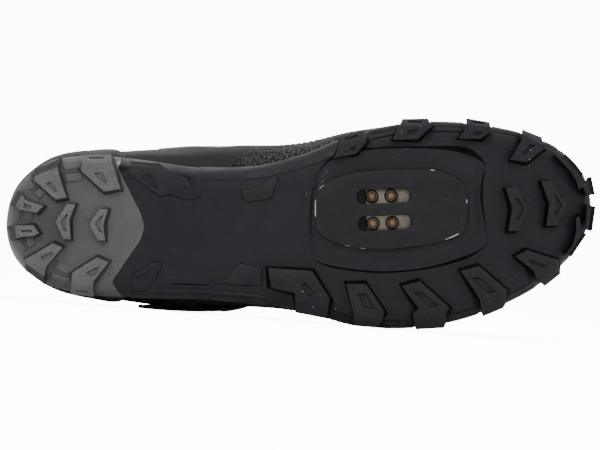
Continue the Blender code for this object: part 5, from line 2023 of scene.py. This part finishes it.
@dataclass
class CleatFitting(SubAssembly):
    """Slotted pad for a two-bolt cleat, with the plate behind it and the four threaded bushes."""

    thickness: float = 2.6 * MM
    slot_length: float = 28 * MM
    slot_width: float = 7.6 * MM
    slot_spacing: float = 14 * MM
    bush_spacing: float = 10 * MM
    ring_radius: float = 3.35 * MM
    ring_inner: float = 2.3 * MM
    bush_height: float = 1.7 * MM
    plate_thickness: float = 1.5 * MM
    plate_length: float = 25 * MM
    plate_width: float = 22.5 * MM
    plate_setback: float = 2.0 * MM
    steps: int = 40

    TURN = math.radians(-2.4)
    MIDDLE = Vector((0.644 * 0.303, -0.0755 * 0.106))
    PAD_TOP = 3.5 * MM
    WINDOW = (14.3 * MM, 11.1 * MM)

    @classmethod
    def turned(cls, x: float, y: float) -> Vector:
        """Place in plan of a point given from the middle of the slots."""
        spot = Vector((x, y))
        spot.rotate(Matrix.Rotation(cls.TURN, 2))
        return spot + cls.MIDDLE

    @classmethod
    def windowed(cls, workshop: Workshop, mesh: Mesh) -> Mesh:
        """Outsole with the window that shows the plate through the slots."""
        outline = [cls.turned(x * cls.WINDOW[0], y * cls.WINDOW[1])
                   for x, y in ((-1, -1), (1, -1), (1, 1), (-1, 1))]
        return workshop.cut("outsole_rubber", mesh, workshop.prism("window", outline, -2 * MM, 7.3 * MM))

    def slot(self, row: int) -> list[Vector]:
        """Outline of one slot.

        Args:
            row: 1 or -1, the side of the middle.

        Returns:
            Corners in plan, in order.
        """
        outline = []
        half = self.steps // 2
        for end in (1, -1):
            for step in range(half + 1):
                angle = math.pi * step / half - math.pi / 2
                x = end * ((self.slot_length - self.slot_width) / 2 + self.slot_width / 2 * math.cos(angle))
                y = end * self.slot_width / 2 * math.sin(angle) + row * self.slot_spacing / 2
                outline.append(self.turned(x, y))
        return outline

    def pad(self) -> None:
        """Rounded pad with two slots."""
        workshop = self.workshop
        low = self.PAD_TOP - self.thickness
        outline = rounded_corners(in_metres(PAD_OUTLINE), PAD_ROUNDING, 5)
        mesh = workshop.prism("cleat_pad_body", outline, low, self.PAD_TOP)
        for row in (-1, 1):
            cutter = workshop.prism("slot", self.slot(row), low - MM, self.PAD_TOP + MM)
            mesh = workshop.cut("cleat_pad_body", mesh, cutter)
        mesh = workshop.softened("cleat_pad_body", mesh, 0.45 * MM, 3)
        workshop.scuff_and_highlight(mesh, (0,), PAD_SCRATCHES_AND_HIGHLIGHTS)
        workshop.piece("cleat_pad_body", mesh, (self.palette.pad,), "black_plastic", ("cleat_pad",))

    def plate(self) -> None:
        """Steel plate behind the slots."""
        shift = (self.slot_length - self.plate_length) / 2 - 0.3 * MM
        half_length = self.plate_length / 2
        half_width = self.plate_width / 2 - 0.3 * MM
        rear = shift - half_length + self.plate_setback
        corners = ((rear, -half_width), (shift + half_length, -half_width),
                   (shift + half_length, half_width), (rear, half_width))
        outline = [self.turned(x, y) for x, y in corners]
        low = self.PAD_TOP + 0.3 * MM
        body = self.workshop.prism("plate", outline, low, low + self.plate_thickness)
        mesh = self.workshop.softened("plate", body, 0.3 * MM)
        self.workshop.piece("plate", mesh, (self.palette.plate,), "plate_steel", ("cleat_plate",))

    def bushes(self) -> None:
        """Four bushes: a steel ring around a brass core with a threaded edge, on a dark disc that paints the
        shadow in the gap around each.
        """
        shift = (self.slot_length - self.plate_length) / 2 - 0.3 * MM
        number = 0
        outer = self.ring_radius
        inner = self.ring_inner
        tall = self.bush_height
        # Dark disc under each bush: a painted shadow in the gap around it.
        socket = ((0.0, -0.2 * MM), (outer + 0.15 * MM, -0.2 * MM), (outer + 0.15 * MM, 0.25 * MM),
                  (0.0, 0.25 * MM))
        ring = ((inner, 0.0), (outer - 0.55 * MM, 0.0), (outer - 0.55 * MM, tall - 0.3 * MM),
                (outer - 0.75 * MM, tall), (inner + 0.12 * MM, tall), (inner, tall - 0.15 * MM), (inner, 0.0))
        core = ((0.0, 0.0), (inner - 0.1 * MM, 0.0), (inner - 0.1 * MM, tall * 0.55),
                (inner - 0.35 * MM, tall * 0.72), (inner - 0.6 * MM, tall * 0.60),
                (inner - 0.8 * MM, tall * 0.74), (inner - 1.3 * MM, tall * 0.80), (0.0, tall * 0.82))
        for row in (-1, 1):
            for column in (-1, 1):
                number += 1
                centre = self.turned(-shift + column * self.bush_spacing / 2, row * self.slot_spacing / 2)
                parts = []
                for profile in (ring, core, socket):
                    shape = spun([(radius, -depth) for radius, depth in profile], self.steps)
                    bmesh.ops.translate(shape, verts=shape.verts, vec=(*centre, self.PAD_TOP))
                    parts.append(self.workshop.mesh("bush_part", shape))
                mesh = self.workshop.joined(f"bush_{number}", parts)
                materials = (self.palette.ring, self.palette.brass, self.palette.socket)
                self.workshop.piece(f"bush_{number}", mesh, materials, "bush_brass",
                                    (f"cleat_bush_{number}",), 30)

    def build(self) -> None:
        """Builds pad, plate and bushes."""
        self.pad()
        self.plate()
        self.bushes()


@dataclass
class Footbed(SubAssembly):
    """Midsole between outsole and upper, and the insole inside."""

    stations: int = 200
    rows: int = 24
    rib_depth: float = 0.35 * MM
    ribs: int = 3

    def slab(self, inset: Callable[[float], float], height: Callable[[float, float], float],
             uv: Spot | None = None) -> BMesh:
        """Closed slab with the sole's plan.

        Args:
            inset: distance inside the sole's edge at each share of its side.
            height: height at a share of the length and a share of its side.
            uv: length and width of its UV map in millimetres, where it has one.

        Returns:
            The bmesh of the slab.
        """
        form = self.form
        length = form.sizes.length

        def point(share: float, level: float) -> Vector:
            """Place of one corner."""
            side, along = form.around(share)
            step = (level * (self.rows + 4) - 2) / self.rows
            climb = min(max(step, 0), 1)
            spot = form.plan_point(side, along, inset(climb))
            deep = form.plan_point(side, along, inset(climb) + 12 * MM)
            other = form.plan_point(-side, along, inset(climb) + 12 * MM)
            beyond = abs(min(step, 1 - step, 0)) * self.rows
            if beyond > 1.5:
                spot = (deep + other) / 2
            elif beyond > 0.5:
                spot = deep
            return Vector((spot.x, spot.y, height(min(max(spot.x / length, 0), 1), climb)))

        return self.workshop.sheet(point, 2 * self.stations, self.rows + 4, uv)

    def build(self) -> None:
        """Builds both layers."""
        form = self.form
        sizes = form.sizes

        def midsole_inset(climb: float) -> float:
            """Ribbed side of the midsole, rounded at both edges."""
            round_edge = 0.9 * MM * abs(2 * climb - 1) ** 6
            groove = math.sin(math.pi * self.ribs * climb) ** 8
            return sizes.midsole_inset + round_edge + self.rib_depth * groove

        def midsole_height(along: float, climb: float) -> float:
            """Height inside the midsole."""
            low = form.outsole_top(along) + sizes.seam_gap
            return low + climb * (form.foot_height(along) - low)

        shape = self.slab(midsole_inset, midsole_height)
        self.workshop.piece("midsole_layer", shape, (self.palette.midsole,), "midsole_rubber", ("midsole",))
        inside = sizes.feather_inset + sizes.wall + sizes.curved_gap

        def insole_inset(climb: float) -> float:
            """Side of the insole, rounded at both edges."""
            return inside + 0.8 * MM * abs(2 * climb - 1) ** 4

        def insole_height(along: float, climb: float) -> float:
            """Height inside the insole."""
            return form.foot_height(along) + sizes.seam_gap + climb * sizes.insole_thickness

        shape = self.slab(insole_inset, insole_height, (300.0, 100.0))
        self.workshop.piece("insole_sheet", shape, (self.palette.insole,), "insole_cloth", ("insole",))


class Crease(NamedTuple):
    """Soft trough across the vamp: stations in millimetres at the inner side, over the ridge and at
    the outer side, with its depth and half width in millimetres."""

    inner: float
    ridge: float
    outer: float
    depth: float
    half_width: float


CREASES = (
    Crease(206.0, 222.0, 200.0, 0.9, 4.2),
    Crease(218.0, 231.0, 212.0, 0.7, 3.6),
    Crease(196.0, 214.0, 186.0, 0.5, 3.4),
    Crease(112.0, 132.0, 104.0, 0.6, 5.0),
)


@dataclass
class Upper(SubAssembly):
    """Hollow upper with its side mesh, counter, edge binding, padded collar and seams."""

    stations: int = 170
    rows: int = 46
    mesh_lift: float = 0.25 * MM
    overlay_lift: float = 0.30 * MM
    overlay_thickness: float = 0.9 * MM
    counter_thickness: float = 1.2 * MM
    counter_height: float = 36 * MM
    counter_front_low: float = 0.201
    counter_front_high: float = 0.150
    collar_radius: float = 3.0 * MM
    binding_width: float = 6.5 * MM
    binding_stitches: float = 0.74
    stitch_length: float = 2.3 * MM
    stitch_step: float = 3.2 * MM
    stitch_width: float = 0.42 * MM
    cord_radius: float = 0.45 * MM
    cord_inset: float = 1.4 * MM
    cord_span: Spot = (0.252, 0.364)
    crease_ridge: float = 0.55
    crease_spread: float = 1.7
    counter_slope: float = 0.35
    roll_stretch: float = 1.9
    roll_drop: float = 1.2
    roll_inset: float = 0.72
    pillow_depth: float = 0.06
    pillow_waves: float = 46.0

    def crease(self, side: int, along: float, angle: float) -> float:
        """Depth of the creases at a place of the upper, with the low ridges beside them.

        Args:
            side: side of the shoe.
            along: station of the section.
            angle: angle between sole and ridge.

        Returns:
            The depth in metres, less than 0 on a ridge.
        """
        form = self.form
        x = form.last_point(side, along, angle).x / MM
        climb = math.sin(min(angle, math.pi / 2))
        depth = 0.0
        for crease in CREASES:
            end = crease.outer if side > 0 else crease.inner
            middle = end + (crease.ridge - end) * climb ** 1.6
            away = (x - middle) / crease.half_width
            if abs(away) < 3:
                beside = math.exp(-((abs(away) - self.crease_spread) ** 2) * 1.6)
                trough = math.exp(-away * away) - self.crease_ridge * beside
                depth += crease.depth * trough * min(climb * 2.4, 1)
        return depth * MM

    def surface(self, side: int, along: float, angle: float, lift: float = 0.0) -> Vector:
        """Point over the creased outer surface."""
        return self.workshop.form.shell_point(side, along, angle, lift - self.crease(side, along, angle))

    def shell(self) -> None:
        """Hollow shell with its lining."""
        form = self.form

        def point(share: float, level: float) -> Vector:
            """Place of one corner, from the sole up to the collar, the throat or the ridge."""
            side, along = form.around(share)
            angle = form.edge_angle(side, along) * level ** 1.7
            if along < 0.02 or along > 0.98:
                return form.last_point(side, along, angle)
            return self.surface(side, along, angle)

        shape = self.workshop.sheet(point, 2 * self.stations, self.rows, (560.0, 90.0))
        mesh = self.workshop.mesh("upper_shell", shape)
        for _ in range(2):
            mesh.materials.append(None)
        mesh = self.workshop.evaluated("upper_shell", mesh, solidify={
            "thickness": form.sizes.wall, "offset": -1, "material_offset": 1, "material_offset_rim": 0})
        self.workshop.piece("upper_shell", mesh, (self.palette.leather, self.palette.lining),
                            "black_leather", ("upper",), 60)

    def overlay(self, point: Callable[[float, float], Vector], along: int, across: int, thickness: float,
                uv: Spot | None = None, rounding: float = 0.3 * MM) -> Mesh:
        """Sheet with a thickness outwards and rounded edges.

        Args:
            point: place of the corner at two shares from 0 to 1.
            along: number of cells in the first direction.
            across: number of cells in the second direction.
            thickness: thickness of the sheet.
            uv: length and width of its UV map in millimetres, where it has one.
            rounding: width of the rounding at its edges.

        Returns:
            The mesh of the sheet.
        """
        shape = self.workshop.sheet(point, along, across, uv)
        return self.workshop.evaluated(
            "overlay", self.workshop.mesh("overlay", shape), solidify={"thickness": thickness, "offset": 1},
            bevel={"width": rounding, "segments": 2, "limit_method": "ANGLE",
                   "angle_limit": math.radians(50)})

    def counter(self) -> None:
        """Textured overlay around the heel."""
        form = self.form

        def point(share: float, level: float) -> Vector:
            """Place of one corner."""
            side = Side.OUTER if share <= 0.5 else Side.INNER
            away = abs(1 - 2 * share)
            front = self.counter_front_low + (self.counter_front_high - self.counter_front_low) * level
            along = along_of(turn_of(front) * away)
            height = self.counter_height * (1 - self.counter_slope * away ** 2) * level
            angle = form.angle_at_height(side, along, form.section(side, along).low + height)
            return form.shell_point(side, along, angle, form.sizes.curved_gap)

        mesh = self.overlay(point, 120, 30, self.counter_thickness)
        self.workshop.piece("heel_counter_panel", mesh, (self.palette.counter,), "counter_grey",
                            ("heel_counter",), 50)

    @staticmethod
    def mesh_height(share: float) -> float:
        """Height of a side mesh along its length, as a share of its greatest height."""
        rise = min(share / 0.55, 1) ** 1.15
        fall = 1 - max((share - 0.62) / 0.38, 0) ** 2
        return rise * max(fall, 0.02)

    def side_mesh(self) -> None:
        """Mesh panels low on both sides of the forefoot."""
        form = self.form
        spans = ((Side.INNER, 0.376, 0.80, 17.0), (Side.OUTER, 0.40, 0.80, 14.0))
        for side, start, end, tall in spans:
            def place(share: float, level: float) -> tuple[int, float, float]:
                """Side, station and angle of a place on the mesh."""
                along = start + (end - start) * share
                height = form.section(side, along).low + (tall * self.mesh_height(share) * level + 0.1) * MM
                return side, along, form.angle_at_height(side, along, height)

            def point(share: float, level: float) -> Vector:
                """Place of one corner."""
                return self.surface(*place(share, level), self.mesh_lift)

            shape = self.workshop.sheet(point, 90, 14, (140.0, tall))
            name = f"side_mesh_{side.name.lower()}"
            self.workshop.piece(name, shape, (self.palette.mesh,), "black_leather", (), 60)
            rim = [place(step / 120, 1.0) for step in range(2, 121)]
            self.seam(f"mesh_seam_{side.name.lower()}", rim)

    def seam(self, name: str, line: Sequence[tuple[int, float, float]], away: float = 1.6 * MM) -> None:
        """Row of stitches along a line of the upper.

        Args:
            name: name of the piece.
            line: places on the upper in order.
            away: distance of the row from the line, towards the ridge.
        """
        form = self.form
        path = []
        normals = []
        for side, along, angle in line:
            spot = form.last_point(side, along, angle)
            up = (form.last_point(side, along, min(angle + 0.02, math.pi / 2)) - spot).normalized()
            normal = form.last_normal(side, along, angle)
            lift = 0.12 * MM - self.crease(side, along, angle)
            path.append(spot + up * away + normal * lift)
            normals.append(normal)
        self.stitch_path(name, path, normals)

    def stitch_path(self, name: str, path: Sequence[Vector], normals: Sequence[Vector]) -> None:
        """Stitches laid along a path.

        Args:
            name: name of the piece.
            path: places in order.
            normals: outward direction at each place.
        """
        shape = bmesh.new()
        travelled = 0.0
        due = self.stitch_step / 2
        for first, last, normal in zip(path, path[1:], normals):
            run = (last - first).length
            while due <= travelled + run and run > 0:
                spot = first.lerp(last, (due - travelled) / run)
                forward = (last - first).normalized()
                across = normal.cross(forward).normalized()
                turn = Matrix((forward, across, forward.cross(across))).transposed().to_4x4()
                size = Matrix.Diagonal((self.stitch_length / 2, self.stitch_width, self.stitch_width, 1))
                bmesh.ops.create_uvsphere(shape, u_segments=6, v_segments=4, radius=1.0,
                                          matrix=Matrix.Translation(spot) @ turn @ size)
                due += self.stitch_step
            travelled += run
        self.workshop.piece(name, shape, (self.palette.thread,), "black_leather", (), 80)

    def edge_band(self) -> None:
        """Binding along the collar and the throat, with a row of stitches."""
        form = self.form
        start = form.sizes.throat_front - 0.002

        def place(share: float, level: float) -> tuple[int, float, float]:
            """Side, station and angle of a place on the binding, from the throat round the heel."""
            way = 2 * share - 1
            side = Side.INNER if way < 0 else Side.OUTER
            along = along_of(turn_of(start) * abs(way))
            edge = form.edge_angle(side, along)
            tall = (form.last_point(side, along, edge) - form.last_point(side, along, edge * 0.9)).length
            return side, along, max(edge * (1 - 0.1 * level * self.binding_width / max(tall, 0.5 * MM)), 0)

        def point(share: float, level: float) -> Vector:
            """Place of one corner."""
            return self.surface(*place(share, level), self.overlay_lift)

        mesh = self.overlay(point, 300, 6, self.overlay_thickness)
        self.workshop.piece("edge_binding", mesh, (self.palette.trim,), "black_leather", (), 50)
        path = []
        normals = []
        for step in range(401):
            spot = place(step / 400, self.binding_stitches)
            path.append(self.surface(*spot, self.overlay_lift + self.overlay_thickness))
            normals.append(form.last_normal(*spot))
        self.stitch_path("binding_stitches", path, normals)

    def quarter_cord(self) -> None:
        """Thin pale piping on the inner quarter, just under its widest line."""
        form = self.form
        middles = []
        first, last = self.cord_span
        for step in range(61):
            along = first + (last - first) * step / 60
            angles = [math.radians(turn * 0.6) for turn in range(2, 90)]
            spots = [form.shell_point(Side.INNER, along, angle, self.cord_radius * 0.4) for angle in angles]
            widest = min(spot.y for spot in spots)
            middles.append(next(spot for spot in spots if spot.y < widest + self.cord_inset))

        def point(share: float, turn: float) -> Vector:
            """Place of one corner."""
            index = min(round(share * 60), 60)
            low = middles[max(index - 1, 0)]
            high = middles[min(index + 1, 60)]
            forward = (high - low).normalized()
            across = forward.cross(Vector((0, 0, 1))).normalized()
            upward = across.cross(forward)
            radius = self.cord_radius * max(math.sqrt(max(1 - (2 * share - 1) ** 8, 0)), 0.02)
            angle = 2 * math.pi * turn
            return middles[index] + (across * math.cos(angle) + upward * math.sin(angle)) * radius

        shape = self.workshop.sheet(point, 60, 8)
        self.workshop.piece("quarter_cord", shape, (self.palette.cord,), "black_leather", (), 80)

    def collar_roll(self) -> None:
        """Padded roll inside the collar's edge."""
        form = self.form
        start = form.sizes.throat_start + 0.012
        path = []
        for step in range(161):
            way = 2 * step / 160 - 1
            side = Side.INNER if way < 0 else Side.OUTER
            along = along_of(turn_of(start) * abs(way))
            edge = form.edge_angle(side, along)
            depth = form.sizes.wall + self.collar_radius * self.roll_inset
            spot = form.shell_point(side, along, edge, -depth)
            path.append((spot, form.last_normal(side, along, edge)))

        def point(share: float, turn: float) -> Vector:
            """Place of one corner of the roll."""
            place = share * 160
            index = min(int(place), 159)
            spot, normal = path[index]
            ahead, next_normal = path[index + 1]
            middle = spot.lerp(ahead, place - index)
            forward = (ahead - spot).normalized()
            outward = normal.lerp(next_normal, place - index)
            outward = (outward - forward * outward.dot(forward)).normalized()
            upward = outward.cross(forward).normalized()
            if upward.z < 0:
                upward.negate()
            close = min(1, math.sqrt(max(1 - abs(2 * share - 1) ** 14, 0)) + 0.0001)
            angle = 2 * math.pi * turn
            pillow = 1 + self.pillow_depth * math.sin(share * self.pillow_waves)
            width = self.collar_radius * close * pillow
            height = self.collar_radius * self.roll_stretch * close
            return (middle + outward * width * math.cos(angle)
                    + upward * (height * math.sin(angle) - self.collar_radius * self.roll_drop))

        shape = self.workshop.sheet(point, 160, 20, (420.0, 30.0))
        roll = self.workshop.piece("collar_roll", shape, (self.palette.lining,), "tongue_cloth", (), 80)

    def build(self) -> None:
        """Builds all of the upper."""
        self.shell()
        self.counter()
        self.side_mesh()
        self.edge_band()
        self.quarter_cord()
        self.collar_roll()


@dataclass
class Tongue(SubAssembly):
    """Padded tongue under the throat."""

    top: float = 0.315
    front: float = 0.665
    half_width: float = 27 * MM
    thickness: float = 4 * MM
    top_round: float = 0.16
    quilt_depth: float = 0.25
    quilt_waves: float = 30.0

    def build(self) -> None:
        """Builds the tongue."""
        form = self.form
        sizes = form.sizes

        def face(share: float, across: float, depth: float) -> Vector:
            """Point at a depth under the tongue's outer face."""
            along = self.top + (self.front - self.top) * share
            side = Side.OUTER if across >= 0.5 else Side.INNER
            top = 1 - max(0.0, 1 - share / self.top_round) ** 2
            half = self.half_width * abs(2 * across - 1) * max(math.sqrt(max(top, 0)), 0.25)
            angle = form.angle_beside_ridge(side, along, half)
            return form.shell_point(side, along, angle, -sizes.wall - sizes.tongue_gap - depth)

        def point(share: float, turn: float) -> Vector:
            """Place of one corner: outer face for the first half turn, inner face for the second."""
            outer = turn <= 0.5
            across = 2 * turn if outer else 2 - 2 * turn
            edge = 1 - abs(2 * across - 1) ** 6
            end = 1 - abs(2 * share - 1) ** 16
            swell = math.sqrt(max(edge * end, 0))
            quilt = self.quilt_depth * math.sin(share * self.quilt_waves) ** 2
            middle = self.thickness / 2
            depth = middle - middle * swell * (1 - quilt * 0.5) if outer else middle + middle * swell
            return face(share, 0.03 + 0.94 * across, depth)

        shape = self.workshop.sheet(point, 70, 60, (106.0, 100.0))
        piece = self.workshop.piece("tongue_pad", shape, (self.palette.tongue,), "tongue_cloth",
                                    ("tongue",), 80)


class StrapPlan(NamedTuple):
    """Strap: name, middle of the band over the ridge and at its two ends as shares of the length,
    band width in millimetres, and where the ends lie between sole (0) and ridge (1)."""

    name: str
    crossing: float
    inner_end: float
    outer_end: float
    width: float
    inner_reach: float
    outer_reach: float


STRAPS = (
    StrapPlan("instep_strap", 0.415, 0.395, 0.294, 44.0, 0.50, 0.10),
    StrapPlan("middle_strap", 0.552, 0.535, 0.474, 25.0, 0.50, 0.44),
    StrapPlan("toe_strap", 0.658, 0.652, 0.602, 24.0, 0.52, 0.48),
)


@dataclass
class Straps(SubAssembly):
    """Straps over the throat, with stitched borders."""

    upper: Upper
    thickness: float = 1.8 * MM
    border: float = 2.4 * MM
    bend: float = 1.3
    climb: float = 1.7

    def place(self, strap: StrapPlan, share: float, across: float) -> tuple[int, float, float]:
        """Place on a strap.

        Args:
            strap: plan of the strap.
            share: share of its length, from the inner end.
            across: share of its width, from the rear edge.

        Returns:
            Side, station and angle on the upper.
        """
        way = 2 * share - 1
        side = Side.OUTER if way >= 0 else Side.INNER
        end = strap.outer_end if side > 0 else strap.inner_end
        lowest = strap.outer_reach if side > 0 else strap.inner_reach
        middle = strap.crossing + (end - strap.crossing) * abs(way) ** self.bend
        along = middle + (across - 0.5) * strap.width * MM / self.workshop.form.sizes.length
        climb = 1 - abs(way) * (1 - lowest)
        return side, along, math.pi / 2 * climb ** self.climb

    def build(self) -> None:
        """Builds each strap with its stitches."""
        form = self.form
        for strap in STRAPS:
            def point(share: float, across: float) -> Vector:
                """Place of one corner of the band."""
                side, along, angle = self.place(strap, share, across)
                return form.shell_point(side, along, angle, form.sizes.curved_gap)

            mesh = self.upper.overlay(point, 90, 16, self.thickness, (150.0, strap.width), 0.5 * MM)
            self.workshop.piece(strap.name + "_band", mesh, (self.palette.strap,), "strap_black",
                                (strap.name,), 50)
            inset = self.border / (strap.width * MM)
            for row, across in enumerate((inset, 1 - inset)):
                path = []
                normals = []
                for step in range(181):
                    share = 0.02 + 0.96 * step / 180
                    side, along, angle = self.place(strap, share, across)
                    lift = form.sizes.curved_gap + self.thickness
                    path.append(form.shell_point(side, along, angle, lift))
                    normals.append(form.last_normal(side, along, angle))
                self.upper.stitch_path(f"{strap.name}_stitches_{row + 1}", path, normals)


@dataclass
class Studio(SubAssembly):
    """Pale round floor that rises to a backdrop, soft lights and the camera."""

    floor_radius: float = 6.2
    bend_radius: float = 1.86
    wall_top: float = 4.1
    lens: float = 360.0
    sensor: float = 36.0
    picture_width: float = 309.4 * MM
    look_at: tuple[float, float] = (151.6, 0.0)

    def floor(self) -> None:
        """Floor and backdrop in one surface of revolution."""
        profile = [(0.0, 0.0), (self.floor_radius, 0.0)]
        for step in range(1, 13):
            angle = math.pi / 2 * step / 12
            profile.append((self.floor_radius + self.bend_radius * math.sin(angle),
                            self.bend_radius * (1 - math.cos(angle))))
        profile.append((self.floor_radius + self.bend_radius, self.wall_top))
        shape = spun(profile, 96)
        bmesh.ops.reverse_faces(shape, faces=shape.faces)
        mesh = self.workshop.mesh("studio_floor", shape)
        mesh.materials.append(self.palette.floor)
        mesh.shade_smooth()
        linked("studio_floor", mesh)

    def light(self, name: str, place: tuple[float, float, float], size: float, power: float) -> None:
        """Soft square light that points at the shoe.

        Args:
            name: name of the light.
            place: its place in metres.
            size: length of its side.
            power: its power in watts.
        """
        data = bpy.data.lights.new(name, "AREA")
        data.size = size
        data.energy = power
        thing = linked(name, data)
        thing.location = place
        thing.rotation_euler = (Vector((0, 0, 0.05)) - Vector(place)).to_track_quat("-Z", "Y").to_euler()

    def world(self) -> None:
        """Even pale sky."""
        sky = bpy.data.worlds.new("pale_sky")
        sky.use_nodes = True
        background = sky.node_tree.nodes["Background"]
        background.inputs["Color"].default_value = (1.0, 1.0, 1.0, 1.0)
        background.inputs["Strength"].default_value = 2.4
        bpy.context.scene.world = sky

    def camera(self) -> None:
        """Camera square to the sole, with the shoe's inner side at the top of the picture."""
        shoe_frame = self.workshop.shoe_frame
        distance = self.picture_width * self.lens / self.sensor
        data = bpy.data.cameras.new("photo_camera")
        data.lens = self.lens
        data.sensor_width = self.sensor
        thing = linked("photo_camera", data)
        spot = Vector((self.look_at[0] * MM, self.look_at[1] * MM, -distance))
        right = shoe_frame.direction(Vector((1, 0, 0)))
        up = shoe_frame.direction(Vector((0, -1, 0)))
        back = right.cross(up)
        turn = Matrix((right, up, back)).transposed()
        thing.matrix_world = Matrix.Translation(shoe_frame.place(spot)) @ turn.to_4x4()
        bpy.context.scene.camera = thing

    def build(self) -> None:
        """Builds the studio."""
        self.floor()
        self.world()
        self.light("key_light", (-0.7, -1.7, 1.3), 1.3, 55.0)
        self.light("fill_light", (1.2, -1.4, 1.5), 1.3, 26.0)
        self.light("top_light", (0.2, 0.5, 1.9), 1.8, 55.0)
        self.camera()


def main() -> None:
    """Builds the studio and every sub-assembly, and reports the pieces."""
    logging.basicConfig(level=logging.INFO, format="%(name)s: %(message)s")
    shoe_frame = ShoeFrame(frame["record"])
    workshop = Workshop(shoe_frame, Form(Sizes()))
    palette = Palette(Effects())
    Studio(workshop, palette).build()
    Outsole(workshop, palette).build()
    CleatFitting(workshop, palette).build()
    Footbed(workshop, palette).build()
    upper = Upper(workshop, palette)
    upper.build()
    Tongue(workshop, palette).build()
    Straps(workshop, palette, upper).build()


if __name__ == "__main__":
    main()
